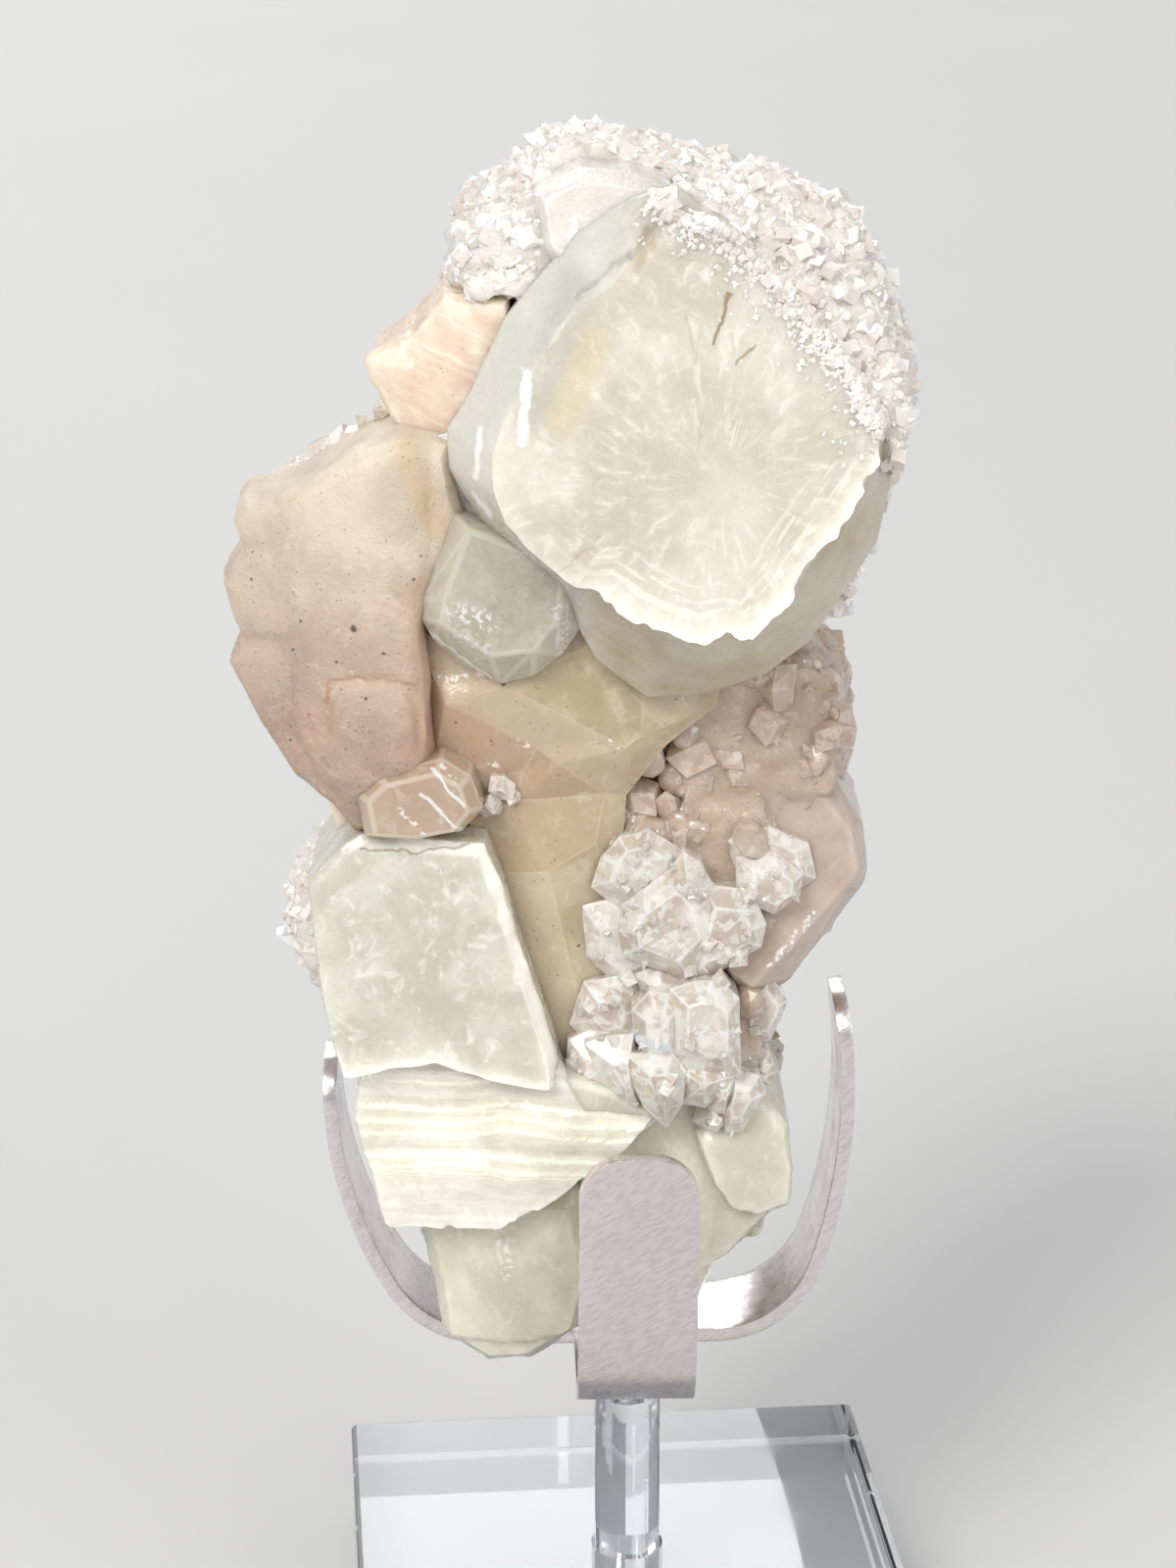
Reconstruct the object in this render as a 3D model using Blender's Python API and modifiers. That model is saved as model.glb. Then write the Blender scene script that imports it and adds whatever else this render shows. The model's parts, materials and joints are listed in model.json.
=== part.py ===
"""A calcite specimen held by a four armed metal claw on a clear acrylic stand.

The origin is the middle of the base's underside, +Z is up and the front faces -Y.
Sizes are in millimetres, and MM turns them into Blender's metres.
"""

import math

import bmesh
import bpy
from mathutils import Matrix, Vector

MM = 0.001
GAP = 0.3

BASE_SIDE = 50.0
BASE_HEIGHT = 10.0
BASE_BEVEL = 0.5

ROD_DIAMETER = 6.0
ROD_SOCKET_DEPTH = 6.0
ROD_TOP = 32.7
ROD_SIDES = 48

CLAW_THICKNESS = 1.2
CLAW_WIDTH = 10.0
CLAW_TIP_RADIUS = 4.0
CLAW_ARM_LENGTH = 45.0
CLAW_TURN = math.radians(-3.5)
CLAW_UNDERSIDE = ROD_TOP + GAP
CLAW_MIDDLE = CLAW_UNDERSIDE + CLAW_THICKNESS / 2
CLAW_FLOOR = CLAW_UNDERSIDE + CLAW_THICKNESS

# Each arm lies flat, turns up in a tight bend, then straightens in a wide one
CLAW_ARMS = {
    "right": {"heading": 0.0, "flat": 7.5, "bend_radius": 9.5, "bend_to": 72.0, "tip_angle": 100.0},
    "back": {"heading": 90.0, "flat": 10.5, "bend_radius": 9.0, "bend_to": 75.0, "tip_angle": 92.0},
    "left": {"heading": 180.0, "flat": 12.5, "bend_radius": 10.0, "bend_to": 60.0, "tip_angle": 93.0},
    "front": {"heading": 270.0, "flat": 13.5, "bend_radius": 8.0, "bend_to": 70.0, "tip_angle": 88.0},
}

SCREW_DIAMETER = 2.5
SCREW_LENGTH = 9.0
SCREW_HEAD_DIAMETER = 5.0
SCREW_HEAD_HEIGHT = 1.2
SCREW_EDGE = 0.45
SCREW_SLOT_WIDTH = 0.7
SCREW_SLOT_DEPTH = 0.6
SCREW_SIDES = 24

SPECIMEN_TURN = math.radians(-5.0)
SPECIMEN_FOOT = CLAW_FLOOR + GAP


def material(name, colour, roughness, metallic=0.0, transmission=0.0):
    """A plain Principled material."""
    made = bpy.data.materials.new(name)
    made.use_nodes = True
    shader = made.node_tree.nodes["Principled BSDF"]
    shader.inputs["Base Color"].default_value = (*colour, 1.0)
    shader.inputs["Roughness"].default_value = roughness
    shader.inputs["Metallic"].default_value = metallic
    shader.inputs["Transmission Weight"].default_value = transmission
    return made


def new_object(name, mesh, collection, made_of=None):
    """An object in a collection, with its material."""
    made = bpy.data.objects.new(name, mesh)
    collection.objects.link(made)
    if made_of:
        mesh.materials.append(made_of)
    return made


def mesh_from(shape, name):
    """A mesh from a bmesh in millimetres."""
    bmesh.ops.scale(shape, vec=(MM, MM, MM), verts=shape.verts)
    mesh = bpy.data.meshes.new(name)
    shape.to_mesh(mesh)
    shape.free()
    return mesh


def cylinder(name, diameter, low, high, sides, collection, made_of=None):
    """An upright cylinder on the rod's axis."""
    shape = bmesh.new()
    placed = Matrix.Translation((0, 0, (low + high) / 2))
    bmesh.ops.create_cone(
        shape, cap_ends=True, segments=sides, matrix=placed,
        radius1=diameter / 2, radius2=diameter / 2, depth=high - low,
    )
    made = new_object(name, mesh_from(shape, name), collection, made_of)
    made.data.shade_smooth()
    made.data.set_sharp_from_angle(angle=math.radians(40))
    return made


def box(name, size, middle, collection, made_of=None):
    """A box with its sides along the axes."""
    shape = bmesh.new()
    placed = Matrix.Translation(middle) @ Matrix.Diagonal((*size, 1.0))
    bmesh.ops.create_cube(shape, size=1.0, matrix=placed)
    return new_object(name, mesh_from(shape, name), collection, made_of)


def boolean(target, cutter, operation):
    """Cut or join one object with another, which is then only a guide."""
    step = target.modifiers.new(cutter.name, "BOOLEAN")
    step.operation = operation
    step.solver = "EXACT"
    step.object = cutter
    cutter.hide_render = True
    cutter.display_type = "WIRE"


def make_base(parts, cutters):
    """The clear square block, with a socket for the rod."""
    acrylic = material("base_acrylic", (0.86, 0.88, 0.92), 0.05, transmission=1.0)
    middle = (0, 0, BASE_HEIGHT / 2)
    base = box("base", (BASE_SIDE, BASE_SIDE, BASE_HEIGHT), middle, parts, acrylic)
    edges = base.modifiers.new("Polished edges", "BEVEL")
    edges.width = BASE_BEVEL * MM
    edges.segments = 2
    floor = BASE_HEIGHT - ROD_SOCKET_DEPTH
    width = ROD_DIAMETER + 2 * GAP
    socket = cylinder("rod_socket", width, floor, BASE_HEIGHT + 2, ROD_SIDES, cutters)
    boolean(base, socket, "DIFFERENCE")


def make_rod(parts, cutters):
    """The clear round rod, drilled at its top for the screw."""
    acrylic = material("rod_acrylic", (0.9, 0.92, 0.93), 0.05, transmission=1.0)
    low = BASE_HEIGHT - ROD_SOCKET_DEPTH + GAP
    rod = cylinder("rod", ROD_DIAMETER, low, ROD_TOP, ROD_SIDES, parts, acrylic)
    floor = CLAW_FLOOR - SCREW_LENGTH
    width = SCREW_DIAMETER + 2 * GAP
    boolean(rod, cylinder("rod_drilling", width, floor, ROD_TOP + 2, SCREW_SIDES, cutters), "DIFFERENCE")


def make_screw(parts, cutters):
    """The small slotted screw that holds the claw on the rod: a turned profile."""
    steel = material("screw_steel", (0.7, 0.7, 0.7), 0.25, metallic=1.0)
    seat = CLAW_FLOOR + GAP
    top = seat + SCREW_HEAD_HEIGHT
    shank = SCREW_DIAMETER / 2
    head = SCREW_HEAD_DIAMETER / 2
    tip = seat - SCREW_LENGTH
    rounded = (head - SCREW_EDGE, top), (head, top - SCREW_EDGE)
    profile = [(0, top), *rounded, (head, seat), (shank, seat), (shank, tip), (0, tip)]
    mesh = bpy.data.meshes.new("claw_screw")
    points = [(radius * MM, 0, z * MM) for radius, z in profile]
    mesh.from_pydata(points, [(i, i + 1) for i in range(len(points) - 1)], [])
    screw = new_object("claw_screw", mesh, parts, steel)
    turned = screw.modifiers.new("Turned", "SCREW")
    turned.steps = SCREW_SIDES
    turned.render_steps = SCREW_SIDES
    turned.use_merge_vertices = True
    turned.merge_threshold = 0.00001
    turned.use_smooth_shade = False
    slot_size = (SCREW_HEAD_DIAMETER + 2, SCREW_SLOT_WIDTH, 2 * SCREW_SLOT_DEPTH)
    boolean(screw, box("screw_slot", slot_size, (0, 0, top), cutters), "DIFFERENCE")


def arm_point(arm, length):
    """How far out and how high an arm's middle is, at a length along it from the axis."""
    flat = arm["flat"]
    if length <= flat:
        return length, 0.0
    first = math.radians(arm["bend_to"])
    radius = arm["bend_radius"]
    turned = min((length - flat) / radius, first)
    out = flat + radius * math.sin(turned)
    up = radius * (1 - math.cos(turned))
    past = length - flat - radius * first
    if past > 0:
        last = math.radians(arm["tip_angle"])
        wide = (CLAW_ARM_LENGTH - flat - radius * first) / (last - first)
        angle = first + past / wide
        out += wide * (math.sin(angle) - math.sin(first))
        up += wide * (math.cos(first) - math.cos(angle))
    return out, up


def arm_lengths(arm):
    """Where along an arm its sheet has cross lines: few on straight runs, more on bends and at the tip."""
    flat = arm["flat"]
    bend = arm["bend_radius"] * math.radians(arm["bend_to"])
    tip = CLAW_ARM_LENGTH - CLAW_TIP_RADIUS
    lengths = [CLAW_WIDTH / 2]
    lengths += [flat + bend * i / 6 for i in range(7)]
    lengths += [flat + bend + (tip - flat - bend) * i / 3 for i in (1, 2, 3)]
    lengths += [tip + CLAW_TIP_RADIUS * math.sin(math.radians(angle)) for angle in (30, 60, 90)]
    return lengths


def make_claw(parts, cutters):
    """One stamped sheet cross, its four arms bent up round the specimen."""
    nickel = material("claw_nickel", (0.75, 0.72, 0.72), 0.2, metallic=1.0)
    shape = bmesh.new()
    half = CLAW_WIDTH / 2
    tip = CLAW_ARM_LENGTH - CLAW_TIP_RADIUS
    corners = [(half, -half), (half, half), (-half, half), (-half, -half)]
    shape.faces.new([shape.verts.new((x, y, 0)) for x, y in corners])
    for arm in CLAW_ARMS.values():
        heading = Matrix.Rotation(math.radians(arm["heading"]), 4, "Z")
        before = None
        for length in arm_lengths(arm):
            into_tip = max(length - tip, 0)
            width = half - CLAW_TIP_RADIUS + math.sqrt(CLAW_TIP_RADIUS**2 - into_tip**2)
            out, up = arm_point(arm, length)
            line = [shape.verts.new(heading @ Vector((out, side * width, up))) for side in (-1, 1)]
            if before:
                shape.faces.new((before[0], line[0], line[1], before[1]))
            before = line
    bmesh.ops.remove_doubles(shape, verts=shape.verts, dist=0.01)
    bmesh.ops.recalc_face_normals(shape, faces=shape.faces)
    placed = Matrix.Translation((0, 0, CLAW_MIDDLE)) @ Matrix.Rotation(CLAW_TURN, 4, "Z")
    bmesh.ops.transform(shape, matrix=placed, verts=shape.verts)
    claw = new_object("claw", mesh_from(shape, "claw"), parts, nickel)
    sheet = claw.modifiers.new("Sheet", "SOLIDIFY")
    sheet.thickness = CLAW_THICKNESS * MM
    sheet.offset = 0.0
    sheet.use_even_offset = True
    width = SCREW_DIAMETER + 2 * GAP
    low = CLAW_UNDERSIDE - 2
    hole = cylinder("claw_hole", width, low, CLAW_FLOOR + 2, SCREW_SIDES, cutters)
    boolean(claw, hole, "DIFFERENCE")


def ring(outline, depth, lean=0.0, turn=0.0, scale=1.0, lift=0.0):
    """An outline of (x, z) points set at a depth y, tilted and scaled about its middle."""
    middle_x = sum(x for x, z in outline) / len(outline)
    middle_z = sum(z for x, z in outline) / len(outline)
    points = []
    for x, z in outline:
        aside = (x - middle_x) * scale
        up = (z - middle_z) * scale
        points.append((middle_x + aside, depth + lean * up + turn * aside, middle_z + up + lift))
    return points


def lump(middle, radii, spin):
    """The corners of a rounded faceted mass, turned about the upright axis."""
    ball = bmesh.new()
    bmesh.ops.create_icosphere(ball, subdivisions=1, radius=1.0)
    turned = Matrix.Rotation(math.radians(spin), 3, "Z") @ Matrix.Rotation(math.radians(spin * 2), 3, "X")
    points = []
    for corner in ball.verts:
        x, y, z = turned @ corner.co
        points.append((middle[0] + x * radii[0], middle[1] + y * radii[1], middle[2] + z * radii[2]))
    ball.free()
    return points


# Outlines of the large crystals as (x, z), seen from the front
PLATE_FACE = [
    (3, 137), (-2, 131), (-6.5, 127), (-10.5, 120.5), (-11, 115), (-7.5, 110), (-3, 107.5), (2.5, 105),
    (9, 104), (14, 110), (19, 117.5), (19, 121), (16, 126), (11, 130), (7.5, 134.5),
]
PLATE_RIM = [
    (3.5, 139), (-4.5, 134), (-10, 127.5), (-15, 118.5), (-14.5, 115), (-11, 110), (-5, 101), (1, 96.5),
    (6, 97), (11, 99), (16, 104.5), (20, 110), (21.5, 118), (20, 127), (14, 133),
]
CROWN = [
    (-15, 132), (-12.5, 135), (-8.5, 138), (-3.6, 140.5), (3.6, 138.5), (10.5, 136.5), (16.5, 134), (19, 132),
    (20, 127), (23, 121.5), (23.2, 118.5), (22, 111.5), (18.5, 101.5), (8, 96), (-8, 100), (-15, 116),
]
KNOB = [(-15, 134), (-11, 137), (-6, 135.5), (-7, 128), (-12, 127), (-15.5, 129)]
PEACH_BLOCK = [(-21.3, 123), (-20, 124.5), (-15.5, 129), (-10, 128), (-10, 116), (-18, 116.5), (-21, 120.5)]
PEACH_FACE = [
    (-30, 111), (-22, 116.5), (-18.5, 118), (-15.5, 110), (-16, 99), (-15.5, 90), (-16.5, 84.5), (-22, 84.5),
    (-27.5, 89.5), (-32, 98), (-32.5, 105),
]
PEACH_RIM = [
    (-31.8, 110), (-27, 112.5), (-22, 116), (-16, 117), (-12, 100), (-12, 86), (-19, 83), (-24.8, 85.5),
    (-28, 87.5), (-31.5, 92), (-34, 96.5), (-34.5, 103.5), (-33, 109),
]
GLASSY = [
    (-14, 112), (-17, 105), (-16.3, 101.5), (-14, 99.5), (-10.7, 97.8), (-8, 98.5), (-5.5, 100.2), (-4, 106),
]
BEHIND = [(-10, 98), (-3.6, 102), (3, 102), (8, 98), (7, 94.5), (-0.4, 91.5), (-8, 93), (-13, 96)]
MAUVE = [(-16, 97), (-8, 98), (-3, 93), (-6.8, 88.5), (-11.7, 87.5), (-16.5, 88)]
RIGHT_DRUSE = [
    (1, 97), (11, 98.5), (15, 100.5), (17.5, 98.5), (19.6, 95.5), (19.2, 91), (18, 85.5), (14, 82), (2, 82),
]
RIGHT_PINK = [(9, 80), (12, 84.5), (18, 84), (20, 79.5), (19.8, 77.3), (17.3, 73.5), (13.2, 68.5), (10, 70)]
SMALL_CLEAR = [(-0.8, 76), (1.2, 80.5), (5.6, 82.3), (10.8, 78.5), (9.8, 73.8), (6.1, 72.5), (0.5, 73.8)]
CENTRE = [(-13, 88), (0, 88), (9, 84), (10, 62), (0, 60), (-7, 60), (-11, 78)]
SPARKLING = [
    (-5, 66), (-2.8, 70), (3.7, 72), (9, 71), (10.3, 65.5), (11.8, 63), (9.2, 58.8), (3, 58.8), (-2, 61),
]
RIGHT_BLOCK = [(8.5, 71), (11.5, 72), (13.3, 70), (12.8, 66), (12, 62), (8.5, 62)]
TABULAR = [
    (-23.5, 84), (-22, 85), (-12, 84.2), (-10.7, 81), (-6, 66), (-6.2, 63.5), (-16, 66), (-24, 64.7),
    (-25.5, 70.5), (-26.7, 81),
]
LEFT_ROUGH = [(-30.5, 74.5), (-29.2, 77.7), (-26.7, 80), (-22, 81), (-22, 66), (-26, 67), (-28.6, 70.5)]
STRIATED = [
    (-23, 61.5), (-22.5, 64), (-6, 63.5), (-3.5, 58), (1.8, 59.5), (-3.6, 55), (-7, 52.2), (-11, 50.2),
    (-20.8, 50.8), (-22.6, 57.4),
]
BOTTOM = [(-18.5, 52), (-4, 53), (-2.5, 44), (-4, 38.5), (-8, 34.5), (-13, 34.5), (-16.2, 38.5), (-17.5, 44)]
BEHIND_PRONG = [(-5, 50), (6, 50), (8.5, 45), (5.5, 39.5), (-2, 38), (-5.5, 44)]
RIGHT_FOOT = [
    (3, 60), (11.9, 60), (13.6, 54.5), (14.3, 51.5), (13, 48), (10, 45.3), (5.5, 43), (-1, 42.5), (-3, 52),
]
BACK_TOWER = [(-14, 118), (-2, 124), (9, 118), (12, 104), (7, 90), (-9, 88), (-17, 100)]
BACK_TABLE = [(-13, 86), (7, 90), (12, 76), (8, 60), (-6, 56), (-17, 66)]

# Masses that fill the sides and the back, as middle, radii and spin
LUMPS = [
    ((-5, 2, 98), (22, 15, 20), 12),
    ((-4, 1, 74), (17, 15, 18), 40),
    ((-5, -1, 56), (14, 13, 13), 75),
    ((-21, 4, 100), (11, 11, 12), 25),
    ((-18, 3, 74), (9, 11, 11), 60),
    ((11, 4, 90), (9, 11, 12), 5),
    ((11, 0, 77), (9, 11, 10), 33),
    ((7, 3, 56), (8, 9, 10), 50),
    ((-11, 13, 108), (11, 8, 10), 70),
    ((9, 13, 96), (10, 8, 11), 20),
    ((-10, 13, 78), (11, 7, 10), 48),
    ((6, 11, 62), (9, 7, 9), 15),
    ((-4, 14, 126), (10, 6, 8), 55),
]


def specimen_crystals():
    """Each crystal's corners, by name."""
    crystals = {
        "plate": ring(PLATE_FACE, -22.5, lean=0.17)
        + ring(PLATE_RIM, -13.0, lean=0.1)
        + ring(PLATE_RIM, 4.0, scale=0.85),
        "crown": ring(CROWN, -8.0, lean=0.2, scale=0.92)
        + ring(CROWN, 0.0)
        + ring(CROWN, 13.0, scale=0.8)
        + ring(CROWN, 18.0, scale=0.45),
        "knob": ring(KNOB, -12.5, scale=0.7) + ring(KNOB, -8.0) + ring(KNOB, 2.0),
        "peach_block": ring(PEACH_BLOCK, -13.0, scale=0.8)
        + ring(PEACH_BLOCK, -9.0)
        + ring(PEACH_BLOCK, 9.0),
        "peach": ring(PEACH_FACE, -18.0, scale=0.6)
        + ring(PEACH_FACE, -14.5)
        + ring(PEACH_RIM, -9.0)
        + ring(PEACH_RIM, 6.0, scale=0.85),
        "glassy": ring(GLASSY, -18.5, lean=0.15, scale=0.55)
        + ring(GLASSY, -15.5, lean=0.2)
        + ring(GLASSY, 0.0),
        "behind": ring(BEHIND, -13.5, lean=-0.3, scale=0.8) + ring(BEHIND, -10.0) + ring(BEHIND, 2.0),
        "mauve": ring(MAUVE, -14.5, lean=-0.2, scale=0.8) + ring(MAUVE, -11.0) + ring(MAUVE, 2.0),
        "right_druse": ring(RIGHT_DRUSE, -13.0, scale=0.75)
        + ring(RIGHT_DRUSE, -6.0)
        + ring(RIGHT_DRUSE, 7.0, scale=0.9),
        "right_pink": ring(RIGHT_PINK, -13.5, scale=0.75)
        + ring(RIGHT_PINK, -8.0)
        + ring(RIGHT_PINK, 4.0),
        "small_clear": ring(SMALL_CLEAR, -18.0, scale=0.6)
        + ring(SMALL_CLEAR, -15.5)
        + ring(SMALL_CLEAR, -6.0),
        "centre": ring(CENTRE, -12.0, scale=0.8) + ring(CENTRE, -8.0) + ring(CENTRE, 6.0),
        "sparkling": ring(SPARKLING, -20.0, scale=0.55)
        + ring(SPARKLING, -16.5)
        + ring(SPARKLING, -4.0),
        "right_block": ring(RIGHT_BLOCK, -11.0, scale=0.8)
        + ring(RIGHT_BLOCK, -8.0)
        + ring(RIGHT_BLOCK, 4.0),
        "tabular": ring(TABULAR, -18.5, lean=0.1, scale=0.94)
        + ring(TABULAR, -17.0, lean=0.1)
        + ring(TABULAR, 2.0, scale=0.9),
        "left_rough": ring(LEFT_ROUGH, -12.0, scale=0.7)
        + ring(LEFT_ROUGH, -8.0)
        + ring(LEFT_ROUGH, 4.0, scale=0.9),
        "striated": ring(STRIATED, -18.0, scale=0.93)
        + ring(STRIATED, -16.0)
        + ring(STRIATED, 3.0, scale=0.9),
        "bottom": ring(BOTTOM, -17.0, scale=0.7, lift=1.5)
        + ring(BOTTOM, -12.0)
        + ring(BOTTOM, -6.0)
        + ring(BOTTOM, 5.0, scale=0.75, lift=4.0),
        "behind_prong": ring(BEHIND_PRONG, -13.5, scale=0.7)
        + ring(BEHIND_PRONG, -10.0)
        + ring(BEHIND_PRONG, 4.0),
        "right_foot": ring(RIGHT_FOOT, -15.0, scale=0.7)
        + ring(RIGHT_FOOT, -10.0)
        + ring(RIGHT_FOOT, 6.0, scale=0.85),
        "back_tower": ring(BACK_TOWER, 8.0)
        + ring(BACK_TOWER, 17.0, scale=0.9)
        + ring(BACK_TOWER, 20.0, scale=0.6),
        "back_table": ring(BACK_TABLE, 4.0)
        + ring(BACK_TABLE, 15.0, scale=0.9)
        + ring(BACK_TABLE, 17.5, scale=0.65),
    }
    for number, (middle, radii, spin) in enumerate(LUMPS):
        crystals[f"lump_{number}"] = lump(middle, radii, spin)
    return crystals


def hull_object(name, points, collection, made_of=None):
    """The convex crystal round some corners, turned as the specimen stands, none below its foot."""
    shape = bmesh.new()
    for x, y, z in points:
        shape.verts.new((x, y, max(z, SPECIMEN_FOOT)))
    hull = bmesh.ops.convex_hull(shape, input=shape.verts)
    inner = hull["geom_interior"] + hull["geom_unused"]
    unused = {item for item in inner if isinstance(item, bmesh.types.BMVert)}
    bmesh.ops.delete(shape, geom=list(unused), context="VERTS")
    turned = Matrix.Rotation(SPECIMEN_TURN, 4, "Z")
    bmesh.ops.transform(shape, matrix=turned, verts=shape.verts)
    bmesh.ops.recalc_face_normals(shape, faces=shape.faces)
    return new_object(name, mesh_from(shape, name), collection, made_of)


def make_specimen(parts, cutters):
    """The calcite: crystals that grew into each other, joined in one solid."""
    calcite = material("calcite", (0.62, 0.55, 0.45), 0.3)
    crystals = specimen_crystals()
    specimen = hull_object("calcite_cluster", crystals.pop("plate"), parts, calcite)
    grown = bpy.data.collections.new("crystals")
    cutters.children.link(grown)
    for name, points in crystals.items():
        crystal = hull_object(name, points, grown)
        crystal.hide_render = True
        crystal.display_type = "WIRE"
    joined = specimen.modifiers.new("Grown together", "BOOLEAN")
    joined.operation = "UNION"
    joined.solver = "EXACT"
    joined.operand_type = "COLLECTION"
    joined.collection = grown


def collection_named(name):
    """A new collection in the scene."""
    made = bpy.data.collections.new(name)
    bpy.context.scene.collection.children.link(made)
    return made


def main():
    for old in list(bpy.data.objects):
        bpy.data.objects.remove(old)
    parts = collection_named("calcite_on_stand")
    cutters = collection_named("cutters")
    make_base(parts, cutters)
    make_rod(parts, cutters)
    make_screw(parts, cutters)
    make_claw(parts, cutters)
    make_specimen(parts, cutters)


main()
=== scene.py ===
"""Looks of a calcite specimen held in a metal claw on a clear acrylic stand.

The specimen is modelled in millimetres in its own frame: x to the right, y away from the viewer, z up,
with the rod's axis at x = y = 0 and the base's underside at z = 0. SPECIMEN_TO_ROW turns that into the row.
"""

import json
import math

import bmesh
import bpy
import numpy as np
from mathutils import Matrix, Vector
from mathutils.bvhtree import BVHTree

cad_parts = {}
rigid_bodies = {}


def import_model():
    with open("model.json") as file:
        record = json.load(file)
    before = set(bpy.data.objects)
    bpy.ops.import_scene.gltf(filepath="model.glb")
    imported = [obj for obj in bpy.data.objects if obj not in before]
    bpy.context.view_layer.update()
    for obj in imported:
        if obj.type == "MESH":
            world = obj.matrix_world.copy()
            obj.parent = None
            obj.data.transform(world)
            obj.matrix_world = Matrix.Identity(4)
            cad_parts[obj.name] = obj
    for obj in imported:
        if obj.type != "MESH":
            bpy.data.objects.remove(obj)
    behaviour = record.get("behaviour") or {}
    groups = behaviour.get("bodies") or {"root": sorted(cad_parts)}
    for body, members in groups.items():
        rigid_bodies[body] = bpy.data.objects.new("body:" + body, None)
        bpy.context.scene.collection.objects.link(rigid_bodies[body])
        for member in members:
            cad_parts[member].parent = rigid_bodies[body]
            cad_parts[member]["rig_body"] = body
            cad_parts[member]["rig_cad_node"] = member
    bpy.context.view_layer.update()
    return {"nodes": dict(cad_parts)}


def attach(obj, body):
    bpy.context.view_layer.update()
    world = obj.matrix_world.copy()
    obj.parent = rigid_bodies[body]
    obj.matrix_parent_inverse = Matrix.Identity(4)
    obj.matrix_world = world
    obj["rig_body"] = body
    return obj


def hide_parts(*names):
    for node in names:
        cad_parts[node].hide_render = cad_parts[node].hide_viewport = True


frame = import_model()

MM = 0.001
SPECIMEN_TURN = math.radians(-5.0)
SPECIMEN_TO_ROW = Matrix.Rotation(SPECIMEN_TURN, 4, "Z") @ Matrix.Diagonal((MM, MM, MM, 1.0))

CAMERA_TARGET = (-3.6, 0.0, 84.0)
CAMERA_DISTANCE = 302.0
CAMERA_PITCH = math.radians(18.0)
CAMERA_LENS = 80.2

# the calcite's lowest point, just above the claw's flat middle
FOOT = 34.5
# how far a pale edge, a painted highlight, reaches over a face
EDGE_FALL = 0.55
MATRIX_VOXEL = 0.65
DRUSE_SPOTS = 24000
LIP_SPOTS = 1200
# a depth y in front of everything, where rays towards the specimen start
IN_FRONT = -60


# Repeatable noise


def lattice(cells, seed):
    """A repeatable number from -1 to 1 for each whole-numbered cell."""
    key = cells[:, 0] * 374761393 + cells[:, 1] * 668265263 + cells[:, 2] * 1274126177 + seed * 974634777
    key &= 0xFFFFFFFF
    key = ((key ^ (key >> 13)) * 1274126177) & 0xFFFFFFFF
    key ^= key >> 16
    return key / 0xFFFFFFFF * 2 - 1


def noise(points, size, seed):
    """Smooth noise from -1 to 1 whose lumps are about `size` across."""
    scaled = points / size
    cell = np.floor(scaled).astype(np.int64)
    part = scaled - cell
    part = part * part * (3 - 2 * part)
    total = np.zeros(len(points))
    for dx in (0, 1):
        for dy in (0, 1):
            for dz in (0, 1):
                step = np.array((dx, dy, dz))
                weight = np.prod(np.where(step == 1, part, 1 - part), axis=1)
                total += weight * lattice(cell + step, seed)
    return total


def rough(points, size, seed, layers=3):
    """Noise with finer layers added, from about -1 to 1."""
    total = np.zeros(len(points))
    for layer in range(layers):
        total += noise(points, size / 2**layer, seed + layer * 17) / 2**layer
    return total / 1.6


def pebbles(points, size, seed):
    """Rounded bumps packed side by side: 1 at each middle, down to 0 in the cracks."""
    scaled = points / size
    cell = np.floor(scaled).astype(np.int64)
    nearest = np.full(len(points), 9.0)
    second = np.full(len(points), 9.0)
    for dx in (-1, 0, 1):
        for dy in (-1, 0, 1):
            for dz in (-1, 0, 1):
                there = cell + np.array((dx, dy, dz))
                shift = [0.5 + 0.45 * lattice(there, seed + axis) for axis in range(3)]
                gap = there + np.stack(shift, axis=1) - scaled
                distance = np.sqrt((gap**2).sum(axis=1))
                second = np.minimum(second, np.maximum(nearest, distance))
                nearest = np.minimum(nearest, distance)
    return np.clip((second - nearest) * 1.6, 0, 1)


# Meshes


def add_object(name, data):
    """A new object in the scene."""
    made = bpy.data.objects.new(name, data)
    bpy.context.scene.collection.objects.link(made)
    return made


def mesh_of(name, points, faces):
    """A new mesh from points and faces."""
    mesh = bpy.data.meshes.new(name)
    mesh.from_pydata([tuple(p) for p in points], [], faces)
    return mesh


def mesh_facing_out(name, points, faces):
    """A new mesh whose faces point out."""
    mesh = mesh_of(name, points, faces)
    turned = bmesh.new()
    turned.from_mesh(mesh)
    bmesh.ops.recalc_face_normals(turned, faces=turned.faces)
    turned.to_mesh(mesh)
    turned.free()
    return mesh


def vectors_of(items, key):
    """The vectors that a mesh's items keep under a key, one a row."""
    flat = np.zeros(len(items) * 3)
    items.foreach_get(key, flat)
    return flat.reshape(-1, 3)


def build(name, points, faces, material, shade_angle=35.0, extra=None):
    """A specimen piece from millimetre points. Its own frame's millimetres stay in the attribute mm."""
    mesh = mesh_facing_out(name, points, faces)
    places = vectors_of(mesh.vertices, "co").ravel()
    mesh.attributes.new("mm", "FLOAT_VECTOR", "POINT").data.foreach_set("vector", places)
    for key, values in (extra or {}).items():
        mesh.attributes.new(key, "FLOAT", "POINT").data.foreach_set("value", values)
    mesh.shade_smooth()
    mesh.set_sharp_from_angle(angle=math.radians(shade_angle))
    mesh.transform(SPECIMEN_TO_ROW)
    mesh.materials.append(material)
    piece = add_object(name, mesh)
    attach(piece, "root")
    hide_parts("calcite_cluster")
    return piece


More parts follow.
